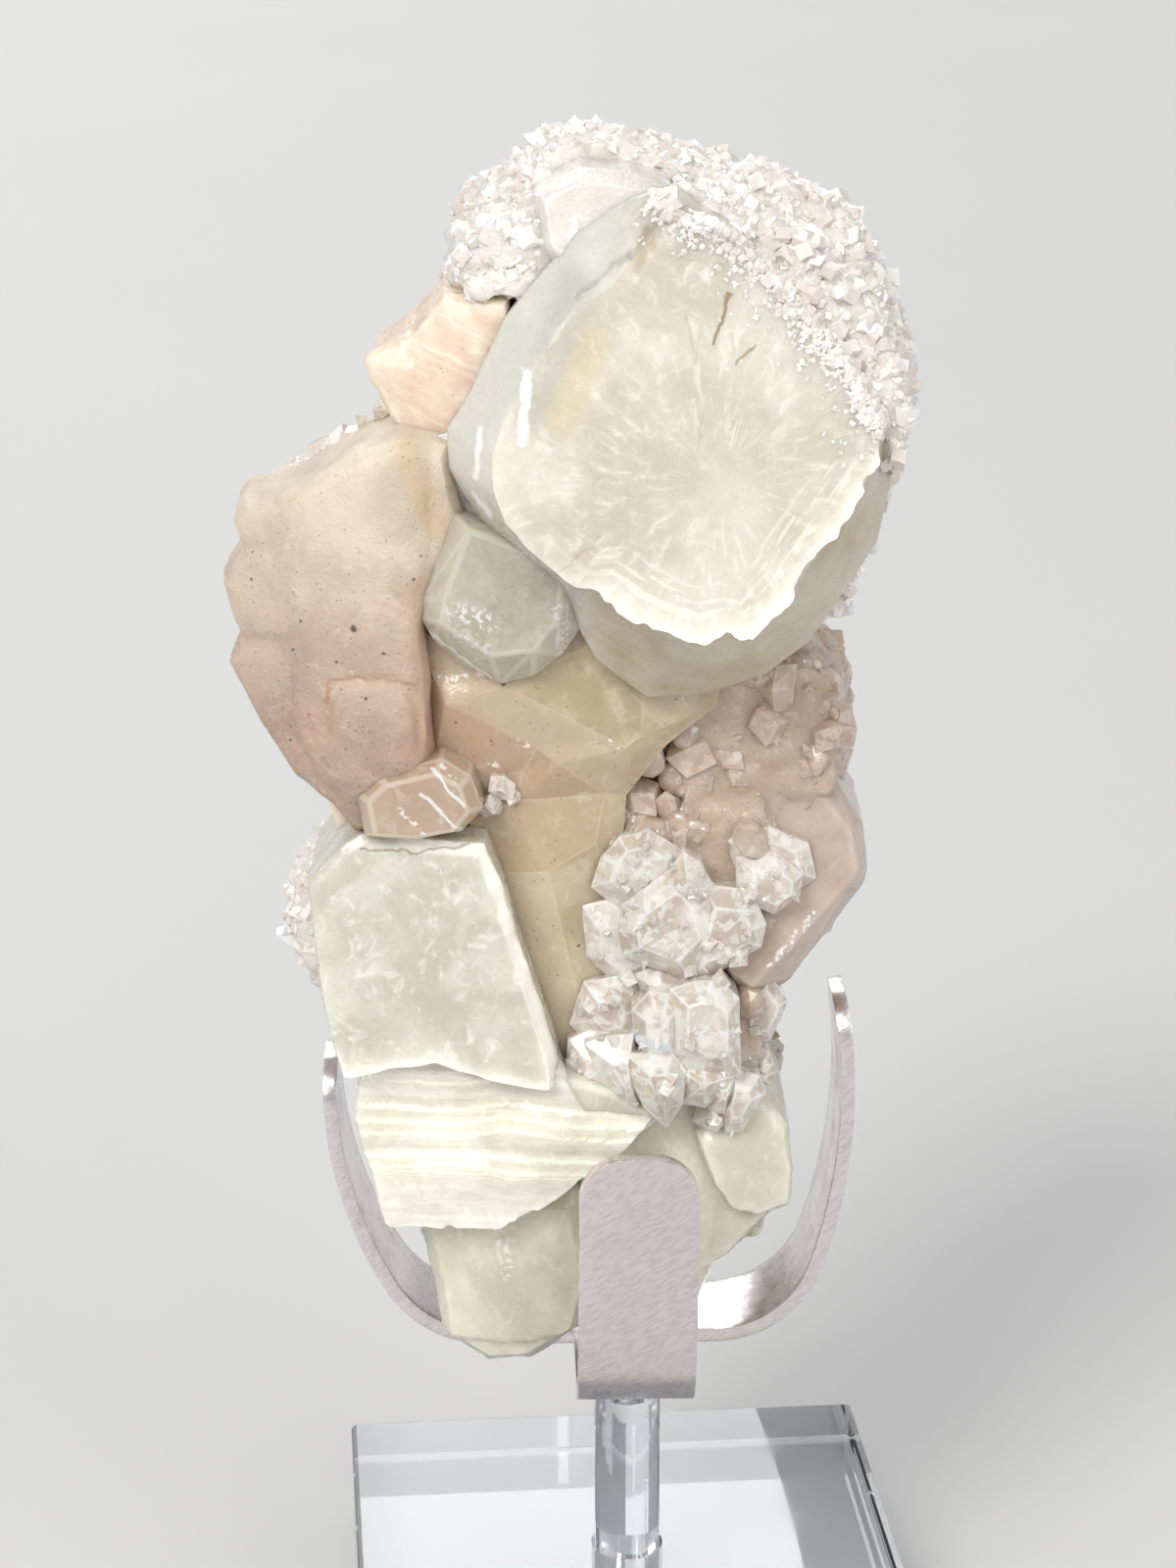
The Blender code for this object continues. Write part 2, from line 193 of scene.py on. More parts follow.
def normals_of(points, faces):
    """Vertex normals, pointing out of a closed surface."""
    mesh = mesh_facing_out("normals", points, faces)
    normals = vectors_of(mesh.vertex_normals, "vector")
    bpy.data.meshes.remove(mesh)
    return normals


def radii_of(outline, centre, count):
    """How far a closed outline is from a centre, in evenly spaced directions."""
    corners = np.array(outline, float) - np.array(centre)
    after = np.roll(corners, -1, axis=0)
    edge = after - corners
    radii = np.zeros(count)
    for index in range(count):
        angle = 2 * math.pi * index / count
        ray = np.array((math.cos(angle), math.sin(angle)))
        cross = ray[0] * edge[:, 1] - ray[1] * edge[:, 0]
        cross = np.where(np.abs(cross) < 1e-9, 1e-9, cross)
        along = (corners[:, 0] * edge[:, 1] - corners[:, 1] * edge[:, 0]) / cross
        across = (corners[:, 0] * ray[1] - corners[:, 1] * ray[0]) / cross
        hits = along[(across >= -1e-6) & (across <= 1 + 1e-6) & (along > 0)]
        radii[index] = hits.max() if len(hits) else 1.0
    return radii


def loft(name, material, centre, stations, count=200, face_rows=24, dome=0.0, lean=0.0, turn=0.0,
         relief=None, bumps=0.25, bump_size=6.0, grain=0.05, grain_size=1.2, chips=0.3, seed=1, shade_angle=35.0):
    """A crystal whose outline is seen from the front.

    stations are (outline, depth y, rows to it from the one before, scale), front to back. The face inside
    the first outline is filled, and bulges by `dome`. lean and turn tilt the face back per unit up and right.
    The attribute rim is the distance in from the face's edge, and edge is 1 there and fades to both sides.
    """
    angles = np.arange(count) * 2 * math.pi / count
    rings = []
    first = radii_of(stations[0][0], centre, count) * stations[0][3]
    for row in range(1, face_rows + 1):
        share = row / face_rows
        depth = stations[0][1] - dome * (1 - share**2)
        rings.append((first * share, depth, 1.0, first * (1 - share)))
    before = (first, stations[0][1], 1.0)
    run = np.zeros(count)
    for number, (outline, depth, rows, scale) in enumerate(stations[1:]):
        radii = radii_of(outline, centre, count) * scale
        tilt = 1.0 - (number + 1) / (len(stations) - 1)
        length = np.sqrt((radii - before[0]) ** 2 + (depth - before[1]) ** 2)
        for row in range(1, rows + 1):
            share = row / rows
            rings.append((
                before[0] + (radii - before[0]) * share,
                before[1] + (depth - before[1]) * share,
                before[2] + (tilt - before[2]) * share,
                -run - length * share,
            ))
        run = run + length
        before = (radii, depth, tilt)
    points = [np.array([[centre[0], stations[0][1] - dome, centre[1]]])]
    rim = [np.array([first.min()])]
    for radii, depth, tilt, distance in rings:
        aside = radii * np.cos(angles)
        up = radii * np.sin(angles)
        away = depth + (lean * up + turn * aside) * tilt
        points.append(np.stack((centre[0] + aside, away, centre[1] + up), axis=1))
        rim.append(distance)
    points.append(np.array([[centre[0], before[1], centre[1]]]))
    rim.append(np.array([-20.0]))
    points = np.concatenate(points)
    rim = np.concatenate(rim)
    extra = {"edge": np.exp(-np.abs(rim) / EDGE_FALL), "rim": rim}
    faces = []
    last = 1 + len(rings) * count
    for index in range(count):
        following = (index + 1) % count
        faces.append((0, 1 + index, 1 + following))
        for row in range(len(rings) - 1):
            low = 1 + row * count
            high = low + count
            faces.append((low + index, high + index, high + following, low + following))
        low = 1 + (len(rings) - 1) * count
        faces.append((low + index, last, low + following))
    if relief:
        relief(points, extra)
    points = weather(points, faces, bumps, bump_size, grain, grain_size, chips, extra["edge"], seed)
    return build(name, points, faces, material, shade_angle, extra)


def weather(points, faces, bumps, bump_size, grain, grain_size, chips, edge, seed):
    """Moves a surface in and out: broad undulation, fine grain, and small chips along its edges."""
    normals = normals_of(points, faces)
    shift = bumps * rough(points, bump_size, seed)
    shift += grain * rough(points, grain_size, seed + 50, 2)
    bite = np.clip(noise(points, 2.2, seed + 90) - 0.1, 0, 1) + 0.5 * np.clip(noise(points, 0.9, seed + 91), 0, 1)
    shift -= chips * edge * bite * 2
    points = points + normals * shift[:, None]
    points[:, 2] = np.maximum(points[:, 2], FOOT)
    return points


def ring(outline, depth, scale=1.0, lean=0.0, turn=0.0):
    """An outline of (x, z) points set at a depth y and scaled about its middle.

    lean and turn tilt it back for each unit up and to the right."""
    middle_x = sum(x for x, z in outline) / len(outline)
    middle_z = sum(z for x, z in outline) / len(outline)
    points = []
    for x, z in outline:
        aside = (x - middle_x) * scale
        up = (z - middle_z) * scale
        points.append((middle_x + aside, depth + lean * up + turn * aside, middle_z + up))
    return points


def prism(outline, *sections):
    """The corners of an outline's rings, where a section is (depth y, scale, lean, turn) or the first of these."""
    return [corner for section in sections for corner in ring(outline, *section)]


def in_order(points, faces):
    """The same surface with points and faces sorted by place, where a tool numbers them anew each run."""
    points = np.round(points, 4)
    order = np.lexsort(points.T)
    rank = np.empty(len(order), int)
    rank[order] = np.arange(len(order))
    sorted_faces = []
    for face in faces:
        corners = [int(rank[corner]) for corner in face]
        first = corners.index(min(corners))
        sorted_faces.append(tuple(corners[first:] + corners[:first]))
    return points[order], sorted(sorted_faces)


def steady(shape):
    """The same bmesh with its points and faces in the order of `in_order`."""
    points, faces, extra = arrays(shape)
    points, faces = in_order(points, faces)
    shape = bmesh.new()
    verts = [shape.verts.new(point) for point in points]
    for face in faces:
        shape.faces.new([verts[corner] for corner in face])
    shape.normal_update()
    return shape


def hull(points):
    """A bmesh of the convex shape round some points."""
    found = bmesh.new()
    for point in points:
        found.verts.new(point)
    made = bmesh.ops.convex_hull(found, input=found.verts)
    spare = {item for item in made["geom_interior"] + made["geom_unused"] if isinstance(item, bmesh.types.BMVert)}
    bmesh.ops.delete(found, geom=list(spare), context="VERTS")
    shape = steady(found)
    bmesh.ops.dissolve_limit(shape, angle_limit=math.radians(2), verts=shape.verts, edges=shape.edges)
    bmesh.ops.recalc_face_normals(shape, faces=shape.faces)
    return shape


def mark_facets(shape, flats, band, chance, tones=None):
    """Draws each flat face in from its edges by `band`. edge is then 1 outside it and 0 in it, and each face
    gets its own value of chance. tones are values of tone for the faces in order."""
    edge = shape.verts.layers.float.new("edge")
    shade = shape.verts.layers.float.new("chance")
    for flat in flats:
        thickness = min(band, 0.2 * math.sqrt(flat.calc_area()))
        bmesh.ops.inset_individual(shape, faces=[flat], thickness=thickness, use_even_offset=True)
    inner = {}
    for flat in flats:
        value = chance.uniform(0, 1)
        for vert in flat.verts:
            inner[vert] = value
    for vert in shape.verts:
        vert[edge] = 0.0 if vert in inner else 1.0
        vert[shade] = inner.get(vert, 0.5)
    if tones:
        tone = shape.verts.layers.float["tone"]
        for flat, value in zip(flats, tones):
            for vert in flat.verts:
                vert[tone] = value
    bmesh.ops.triangulate(shape, faces=shape.faces)


def crystal(points, chance, worn=0.3, band=0.3, fine=0.0):
    """A convex crystal with worn edges, made finer down to edges `fine` long."""
    shape = hull(points)
    if worn:
        ways = [face.normal.copy() for face in shape.faces]
        bmesh.ops.bevel(shape, geom=list(shape.edges), offset=worn, segments=2, profile=0.6, affect="EDGES",
                        clamp_overlap=True)
        shape = steady(shape)
        flats = [face for face in shape.faces if max(face.normal.dot(way) for way in ways) > 0.9999]
    else:
        flats = list(shape.faces)
    mark_facets(shape, flats, band, chance)
    if fine:
        refine(shape, fine)
    return shape


def refine(shape, fine):
    """Splits long edges until a flat face has points enough to be made uneven."""
    for _ in range(4):
        long_edges = [edge for edge in shape.edges if edge.calc_length() > fine]
        if not long_edges:
            return
        bmesh.ops.subdivide_edges(shape, edges=long_edges, cuts=1)
        bmesh.ops.triangulate(shape, faces=shape.faces)


def arrays(shape):
    """A bmesh's points, faces and the values on its points, and the bmesh is freed."""
    shape.verts.ensure_lookup_table()
    shape.verts.index_update()
    points = np.array([vert.co[:] for vert in shape.verts])
    faces = [tuple(vert.index for vert in face.verts) for face in shape.faces]
    extra = {}
    for layer in shape.verts.layers.float.values():
        extra[layer.name] = np.array([vert[layer] for vert in shape.verts])
    shape.free()
    return points, faces, extra


def faceted(name, material, points, worn=0.3, band=0.35, bumps=0.12, bump_size=3.0, seed=1, shade_angle=28.0):
    """A crystal with flat faces, worn edges and a slightly uneven surface."""
    shape = crystal(points, np.random.default_rng(seed), worn, band, 1.0)
    points, faces, extra = arrays(shape)
    points = weather(points, faces, bumps, bump_size, 0.03, 0.9, 0.0, extra["edge"], seed)
    return build(name, points, faces, material, shade_angle, extra)


def facet_sheet(name, material, corners, facets, back, seed):
    """Crystal faces that meet along shared edges, closed behind at the depth `back`.

    corners are (x, y, z) by letter, and facets are (letters round a face, tone).
    """
    chance = np.random.default_rng(seed)
    shape = bmesh.new()
    tone = shape.verts.layers.float.new("tone")
    verts = {letter: shape.verts.new(place) for letter, place in corners.items()}
    flats = []
    for letters, value in facets:
        flats.append(shape.faces.new([verts[letter] for letter in letters]))
        for letter in letters:
            verts[letter][tone] = value
    pairs = [list(edge.verts) for edge in shape.edges if edge.is_boundary]
    rim = pairs.pop(0)
    while pairs:
        pair = next(pair for pair in pairs if rim[-1] in pair)
        pairs.remove(pair)
        rim.append(pair[1] if pair[0] == rim[-1] else pair[0])
    rim.pop()
    behind = [shape.verts.new((vert.co.x, back, vert.co.z)) for vert in rim]
    for number in range(len(rim)):
        shape.faces.new([rim[number], rim[number - 1], behind[number - 1], behind[number]])
    shape.faces.new(behind)
    bmesh.ops.recalc_face_normals(shape, faces=shape.faces)
    mark_facets(shape, flats, 0.14, chance, [value for letters, value in facets])
    refine(shape, 1.0)
    points, faces, extra = arrays(shape)
    points = weather(points, faces, 0.15, 3.0, 0.03, 0.9, 0.0, extra["edge"], seed)
    return build(name, points, faces, material, 28.0, extra)


def cluster(name, material, crystals, back, seed):
    """One joined mesh of crystals seen end on: (outline, depth of its shoulder, rise of its end, share of the
    outline that is flat at the end, shift of the end)."""
    chance = np.random.default_rng(seed)
    joined = Joined()
    for outline, depth, rise, flat, shift in crystals:
        end = [(x + shift[0], y, z + shift[1]) for x, y, z in ring(outline, depth - rise, flat * 1.1)]
        shape = crystal(end + ring(outline, depth, 1.1) + ring(outline, back), chance, 0.08, 0.12, 1.4)
        joined.add(*arrays(shape))
    points = joined.points()
    points = weather(points, joined.faces, 0.1, 1.8, 0.0, 1.0, 0.0, np.zeros(len(points)), seed)
    return build(name, points, joined.faces, material, 28.0, joined.extra())


class Joined:
    """Meshes gathered into one, with the values on their points."""

    def __init__(self):
        self.places = []
        self.faces = []
        self.values = {}
        self.count = 0

    def add(self, points, faces, extra):
        self.places.append(points)
        self.faces += [tuple(self.count + index for index in face) for face in faces]
        for key, values in extra.items():
            self.values.setdefault(key, []).append(values)
        self.count += len(points)

    def points(self):
        return np.concatenate(self.places)

    def extra(self):
        return {key: np.concatenate(values) for key, values in self.values.items()}


# Small crystals

# places in the list that templates returns
HEXAGONS = [0, 1, 2, 3]
POINTED = [4, 5, 6]
RHOMBS = [7, 8, 9]
NUBS = [10, 11, 12]
FINE = [13, 14, 15, 16]


def hexagonal(tilt, tip):
    """A six sided prism with a low three sided end."""
    body = [(0, 0, tip)]
    for corner in range(6):
        angle = math.radians(60 * corner)
        high = 0.62 + (tilt if corner % 2 else -tilt)
        body.append((0.5 * math.cos(angle), 0.5 * math.sin(angle), high))
        body.append((0.46 * math.cos(angle), 0.46 * math.sin(angle), -0.4))
    return body


def pointed(tip):
    """A dog tooth crystal."""
    body = [(0, 0, tip), (0, 0, -0.6)]
    for corner in range(6):
        angle = math.radians(60 * corner)
        high = 0.1 + (0.12 if corner % 2 else -0.12)
        body.append((0.45 * math.cos(angle), 0.45 * math.sin(angle), high))
    return body


def rhomb(skew):
    """A leaning block."""
    turned = Matrix.Rotation(0.5 + skew, 3, "X") @ Matrix.Rotation(0.6, 3, "Y")
    body = []
    for x in (-0.42, 0.42):
        for y in (-0.42, 0.42):
            for z in (-0.42, 0.42):
                body.append(turned @ Vector((x + 0.3 * z, y + 0.12 * z * (skew + 1), z + 0.3)))
    return body


def templates(seed):
    """Small crystal shapes about 1 across, standing on z = 0 along +Z: points, faces and values of each."""
    chance = np.random.default_rng(seed)
    bodies = [hexagonal(0.12 + 0.05 * variant, 0.95 + 0.05 * variant) for variant in range(4)]
    bodies += [pointed(1.05 + 0.15 * variant) for variant in range(3)]
    bodies += [rhomb(variant) for variant in range(3)]
    shapes = [arrays(crystal(body, chance, 0.0, 0.07)) for body in bodies]
    for variant in range(3):
        ball = bmesh.new()
        bmesh.ops.create_icosphere(ball, subdivisions=2, radius=0.5)
        points, faces, extra = arrays(ball)
        points *= 1 + 0.16 * noise(points * 10, 5.0, int(chance.integers(1000)))[:, None]
        points[:, 2] += 0.2
        shapes.append((points, faces, extra))
    for body in (hexagonal(0.18, 0.95), pointed(0.9), rhomb(0), rhomb(1)):
        plain = hull(body)
        bmesh.ops.triangulate(plain, faces=plain.faces)
        shapes.append(arrays(plain))
    return shapes


def turn_to(direction, spin, lean):
    """A 3x3 turn that takes +Z near a direction, off by the lean (x, y), and spun about it."""
    aim = Vector(direction).normalized()
    base = aim.to_track_quat("Z", "Y").to_matrix()
    tipped = Matrix.Rotation(lean[0], 3, "X") @ Matrix.Rotation(lean[1], 3, "Y")
    return np.array(base @ tipped @ Matrix.Rotation(spin, 3, "Z"))


def scatter(name, material, spots, shapes, seed, kinds, tall=(0.8, 1.5), tip=0.5, sink=0.25):
    """One joined mesh of small crystals. spots are (place, direction, size)."""
    chance = np.random.default_rng(seed)
    joined = Joined()
    for place, direction, size in spots:
        points, faces, extra = shapes[kinds[int(chance.integers(len(kinds)))]]
        turned = turn_to(direction, chance.uniform(0, 6.28), chance.normal(0, tip, 2))
        stretch = np.array((1.0, chance.uniform(0.75, 1.2), chance.uniform(*tall))) * size
        moved = (points * stretch) @ turned.T
        moved += np.array(place) - np.array(direction) * size * sink
        own = chance.uniform(0, 1)
        flat = np.zeros(len(points))
        joined.add(moved, faces, {"chance": extra.get("chance", flat + own), "edge": extra.get("edge", flat)})
    points = joined.points()
    points[:, 2] = np.maximum(points[:, 2], FOOT)
    return build(name, points, joined.faces, material, 25.0, joined.extra())


def surface_spots(piece_points, triangles, count, seed):
    """Places and outward directions spread evenly over a triangle surface."""
    chance = np.random.default_rng(seed)
    corners = piece_points[triangles]
    cross = np.cross(corners[:, 1] - corners[:, 0], corners[:, 2] - corners[:, 0])
    area = np.linalg.norm(cross, axis=1)
    chosen = chance.choice(len(triangles), count, p=area / area.sum())
    first = np.sqrt(chance.uniform(0, 1, count))
    second = chance.uniform(0, 1, count)
    weights = np.stack((1 - first, first * (1 - second), first * second), axis=1)
    places = (corners[chosen] * weights[:, :, None]).sum(axis=1)
    directions = cross[chosen] / area[chosen][:, None]
    return places, directions


# Materials


def node(tree, kind, inputs=None, **settings):
    """A shader node, with each input set to a value or linked to a socket."""
    made = tree.nodes.new(kind)
    for key, value in settings.items():
        setattr(made, key, value)
    for key, value in (inputs or {}).items():
        socket = made.inputs[key]
        if isinstance(value, bpy.types.NodeSocket):
            tree.links.new(value, socket)
        else:
            socket.default_value = value
    return made


def calc(tree, operation, first, second=0.0, third=0.0):
    """The result of a Math node."""
    return node(tree, "ShaderNodeMath", {0: first, 1: second, 2: third}, operation=operation).outputs[0]


def times(tree, first, second):
    """Two values multiplied."""
    return calc(tree, "MULTIPLY", first, second)


def vector(tree, operation, *values, output=0):
    """The result of a Vector Math node, where output 1 is a number."""
    return node(tree, "ShaderNodeVectorMath", dict(enumerate(values)), operation=operation).outputs[output]


def combined(tree, x, y):
    """A vector from two values."""
    return node(tree, "ShaderNodeCombineXYZ", {0: x, 1: y, 2: 0.0}).outputs[0]


def span(tree, value, low, high, out_low=0.0, out_high=1.0):
    """A value mapped from one range to another, smoothly and held at the ends."""
    inputs = {"Value": value, "From Min": low, "From Max": high, "To Min": out_low, "To Max": out_high}
    return node(tree, "ShaderNodeMapRange", inputs, interpolation_type="SMOOTHSTEP").outputs[0]


def mix(tree, factor, first, second, blend="MIX"):
    """Two colours mixed."""
    made = node(tree, "ShaderNodeMix", data_type="RGBA", blend_type=blend, clamp_factor=True)
    for index, value in ((0, factor), (6, first), (7, second)):
        if isinstance(value, bpy.types.NodeSocket):
            tree.links.new(value, made.inputs[index])
        else:
            made.inputs[index].default_value = value
    return made.outputs[2]


def fog(tree, coordinate, scale, detail=3.0, roughness=0.5, distortion=0.0):
    """A noise texture's value."""
    inputs = {"Vector": coordinate, "Scale": scale, "Detail": detail, "Roughness": roughness,
              "Distortion": distortion}
    return node(tree, "ShaderNodeTexNoise", inputs).outputs["Fac"]


def attribute(tree, name, output="Fac"):
    """A value kept on the mesh."""
    return node(tree, "ShaderNodeAttribute", attribute_name=name).outputs[output]


def ramp(tree, value, stops):
    """A colour for each height: stops are (height, colour), lowest first."""
    low = stops[0][0]
    length = stops[-1][0] - low
    share = node(tree, "ShaderNodeMapRange", {"Value": value, "From Min": low, "From Max": low + length}).outputs[0]
    made = node(tree, "ShaderNodeValToRGB", {0: share})
    elements = made.color_ramp.elements
    elements.remove(elements[1])
    elements[0].position = 0.0
    elements[0].color = srgb(*stops[0][1])
    for height, colour in stops[1:]:
        elements.new((height - low) / length).color = srgb(*colour)
    return made.outputs[0]


def stroke(tree, flat, start, end, width):
    """How near a place, seen from the front, is to a line from start to end: 1 on it, 0 at half the width."""
    run = Vector((end[0] - start[0], 0, end[1] - start[1]))
    length = run.length
    run.normalize()
    away = vector(tree, "SUBTRACT", flat, (start[0], 0, start[1]))
    along = vector(tree, "DOT_PRODUCT", away, run, output=1)
    held = calc(tree, "MINIMUM", calc(tree, "MAXIMUM", along, 0.0), length)
    nearest = node(tree, "ShaderNodeVectorMath", {0: run, "Scale": held}, operation="SCALE").outputs[0]
    distance = vector(tree, "DISTANCE", away, nearest, output=1)
    return span(tree, distance, width / 2, width / 8)


def srgb(red, green, blue):
    """A colour given as it looks on screen, from 0 to 255, as the shader wants it."""
    linear = []
    for value in (red, green, blue):
        share = value / 255
        linear.append(share / 12.92 if share <= 0.04045 else ((share + 0.055) / 1.055) ** 2.4)
    return (*linear, 1.0)


def new_material(name):
    """An empty Principled material and its tree and shader."""
    made = bpy.data.materials.new(name)
    made.use_nodes = True
    tree = made.node_tree
    shader = tree.nodes["Principled BSDF"]
    shader.subsurface_method = "BURLEY"
    return made, tree, shader


def pale_of(colour, share):
    """A colour taken some way to white."""
    return (*(part + (1 - part) * share for part in colour[:3]), 1.0)


SPECK_COLOUR = srgb(92, 62, 38)


def calcite(name, light, dark, pale, cloud=0.12, veil=0.5, specks=0.0, body=0.7, clear=0.0, gloss=0.2,
            polish=0.25, bump=0.2, fine=2.2, depth=2.5, levels=None, toned=None, radial=None, stripes=None,
            side=None, strokes=(), varied=0.0, edging=0.5, inner=0.0):
    """Calcite: clouded colour, pale veils and edges, dark specks and a slightly uneven gloss.

    Colours are as they look on screen, from 0 to 255.
    levels are (z, colour) tints from below upwards, toned is the colour where the attribute tone is 1,
    radial is the middle (x, z) of veils that run outwards, stripes is (direction, spacing in mm),
    side is the darker colour below the plate's lip, partly its own amber tone and partly painted shade under the
    overhang, inside which run pale lines, strokes are (start, end, width, colour, strength, broken): coloured
    streaks, lines and patches, and white painted highlights and glints, varied is how much one facet differs from
    the next, edging is how pale the edges are painted, a painted highlight along them, and inner is the strength
    of the painted broken reflections inside clear crystal.
    """
    made, tree, shader = new_material(name)
    light, dark, pale = (srgb(*colour) for colour in (light, dark, pale))
    place = attribute(tree, "mm", "Vector")
    edge = attribute(tree, "edge")
    parts = node(tree, "ShaderNodeSeparateXYZ", {0: place}).outputs
    broad = fog(tree, place, cloud, 4.0, 0.55, 0.6)
    colour = mix(tree, span(tree, broad, 0.35, 0.65), dark, light)
    if toned:
        colour = mix(tree, attribute(tree, "tone"), colour, srgb(*toned))
    if levels:
        wavy = calc(tree, "MULTIPLY_ADD", fog(tree, place, 0.15), 10.0, calc(tree, "SUBTRACT", parts[2], 5.0))
        colour = mix(tree, 1.0, colour, ramp(tree, wavy, levels), "MULTIPLY")
    patches = fog(tree, place, 0.55, 5.0, 0.62, 1.2)
    colour = mix(tree, span(tree, patches, 0.5, 0.75, 0.0, veil), colour, pale)
    if varied:
        each = attribute(tree, "chance")
        colour = mix(tree, span(tree, each, 0.5, 1.0, 0.0, varied), colour, pale)
        colour = mix(tree, span(tree, each, 0.35, 0.0, 0.0, varied), colour, dark)
    # painted reflections: broken bright and dark shards inside clear crystal
    if inner:
        bend = node(tree, "ShaderNodeTexNoise", {"Vector": place, "Scale": 0.8, "Detail": 2.0}).outputs["Color"]
        bent = vector(tree, "MULTIPLY_ADD", bend, (1.2, 1.2, 1.2), place)
        broken_up = node(tree, "ShaderNodeTexVoronoi", {"Vector": bent, "Scale": 1.5, "Randomness": 1.0})
        shard = node(tree, "ShaderNodeSeparateXYZ", {0: broken_up.outputs["Color"]}).outputs[0]
        colour = mix(tree, span(tree, shard, 0.55, 0.9, 0.0, inner), colour, pale)
        colour = mix(tree, span(tree, shard, 0.4, 0.1, 0.0, inner * 0.6), colour, dark)
    raised = fog(tree, place, fine, 4.0, 0.6)
    if radial:
        aside = calc(tree, "SUBTRACT", parts[0], radial[0])
        up = calc(tree, "SUBTRACT", parts[2], radial[1])
        angle = calc(tree, "ARCTAN2", up, aside)
        distance = calc(tree, "SQRT", calc(tree, "MULTIPLY_ADD", aside, aside, times(tree, up, up)))
        polar = combined(tree, times(tree, angle, 5.0), times(tree, distance, 0.2))
        rays = fog(tree, polar, 2.0, 5.0, 0.62, 0.5)
        strength = span(tree, distance, 0.5, 5.0)
        bright_rays = times(tree, span(tree, rays, 0.5, 0.72), strength)
        dull_rays = times(tree, span(tree, rays, 0.47, 0.3), strength)
        colour = mix(tree, times(tree, bright_rays, 0.55), colour, pale)
        colour = mix(tree, times(tree, dull_rays, 0.3), colour, dark)
    if stripes:
        along = vector(tree, "DOT_PRODUCT", place, stripes[0], output=1)
        wobble = calc(tree, "MULTIPLY_ADD", fog(tree, place, 0.25), 1.6, along)
        banding = fog(tree, combined(tree, calc(tree, "DIVIDE", wobble, stripes[1]), 0.0), 1.0, 3.0, 0.7)
        colour = mix(tree, span(tree, banding, 0.48, 0.66, 0.0, 0.6), colour, pale)
        raised = calc(tree, "MULTIPLY_ADD", banding, 1.2, raised)
    if side:
        rim = attribute(tree, "rim")
        lip = attribute(tree, "lip")
        lines = combined(tree, times(tree, rim, 1.5), times(tree, fog(tree, place, 0.2), 3.0))
        banding = span(tree, fog(tree, lines, 1.0, 2.0, 0.6), 0.5, 0.62)
        near = times(tree, span(tree, rim, 5.0, 3.0), lip)
        colour = mix(tree, times(tree, times(tree, banding, near), 0.55), colour, pale)
        colour = mix(tree, times(tree, attribute(tree, "glass"), 0.7), colour, srgb(218, 218, 212))
        # Below the lip the colour turns to a darker amber: partly the side's own tone, partly painted shade under the
        # overhang.
        under = times(tree, span(tree, rim, -0.3, -1.4), lip)
        shaded = srgb(*side)
        colour = mix(tree, under, colour, mix(tree, span(tree, broad, 0.35, 0.65), shaded, pale_of(shaded, 0.25)))
    # Edges are painted pale: a painted highlight along facet edges, bevels and the lip.
    colour = mix(tree, times(tree, edge, edging), colour, pale)
    # strokes paint coloured streaks, lines and patches, and the white ones painted highlights and glints
    if strokes:
        bend = node(tree, "ShaderNodeTexNoise", {"Vector": place, "Scale": 0.7, "Detail": 2.0}).outputs["Color"]
        bent = vector(tree, "ADD", vector(tree, "ADD", bend, place), (-0.5, 0.0, -0.5))
        flat = vector(tree, "MULTIPLY", bent, (1.0, 0.0, 1.0))
        crumbs = span(tree, fog(tree, place, 2.4, 2.0), 0.5, 0.58)
        for start, end, width, tint, strength, broken in strokes:
            near = times(tree, stroke(tree, flat, start, end, width), strength)
            if broken:
                near = times(tree, near, crumbs)
            colour = mix(tree, near, colour, srgb(*tint))
    if specks:
        for scale, size, strength in ((0.5, 0.1, 0.8), (1.5, 0.16, 0.55)):
            dots = node(tree, "ShaderNodeTexVoronoi", {"Vector": place, "Scale": scale, "Randomness": 1.0})
            small = span(tree, dots.outputs["Distance"], size, size * 0.5, 0.0, strength)
            chosen = calc(tree, "GREATER_THAN", fog(tree, place, 0.35, 2.0), 1.0 - specks)
            colour = mix(tree, times(tree, small, chosen), colour, SPECK_COLOUR)
    tree.links.new(colour, shader.inputs["Base Color"])
    shine = span(tree, fog(tree, place, 0.8, 3.0), 0.3, 0.7, gloss * 0.7, gloss * 1.5)
    tree.links.new(shine, shader.inputs["Roughness"])
    bumped = node(tree, "ShaderNodeBump", {"Height": raised, "Strength": bump, "Distance": 0.0004})
    tree.links.new(bumped.outputs[0], shader.inputs["Normal"])
    shader.inputs["Subsurface Weight"].default_value = body
    shader.inputs["Subsurface Radius"].default_value = (1.0, 0.85, 0.65)
    shader.inputs["Subsurface Scale"].default_value = depth * MM
    shader.inputs["Transmission Weight"].default_value = clear
    shader.inputs["IOR"].default_value = 1.58
    shader.inputs["Coat Weight"].default_value = polish
    shader.inputs["Coat Roughness"].default_value = 0.06
    return made


def absorb(material, colour, density):
    """Clear material that takes a little of the light passing through it."""
    tree = material.node_tree
    taken = node(tree, "ShaderNodeVolumeAbsorption", {"Color": colour, "Density": density})
    tree.links.new(taken.outputs[0], tree.nodes["Material Output"].inputs["Volume"])
    return material


def clear_acrylic(name):
    """Polished acrylic, with faint smears."""
    made, tree, shader = new_material(name)
    place = node(tree, "ShaderNodeTexCoord").outputs["Object"]
    smears = fog(tree, place, 140.0, 4.0, 0.6, 0.5)
    tree.links.new(span(tree, smears, 0.4, 0.75, 0.01, 0.06), shader.inputs["Roughness"])
    tint = mix(tree, span(tree, fog(tree, place, 60.0), 0.3, 0.7), srgb(247, 250, 253), srgb(252, 253, 254))
    tree.links.new(tint, shader.inputs["Base Color"])
    shader.inputs["Transmission Weight"].default_value = 1.0
    shader.inputs["IOR"].default_value = 1.49
    return absorb(made, (0.82, 0.86, 0.95, 1.0), 6.0)


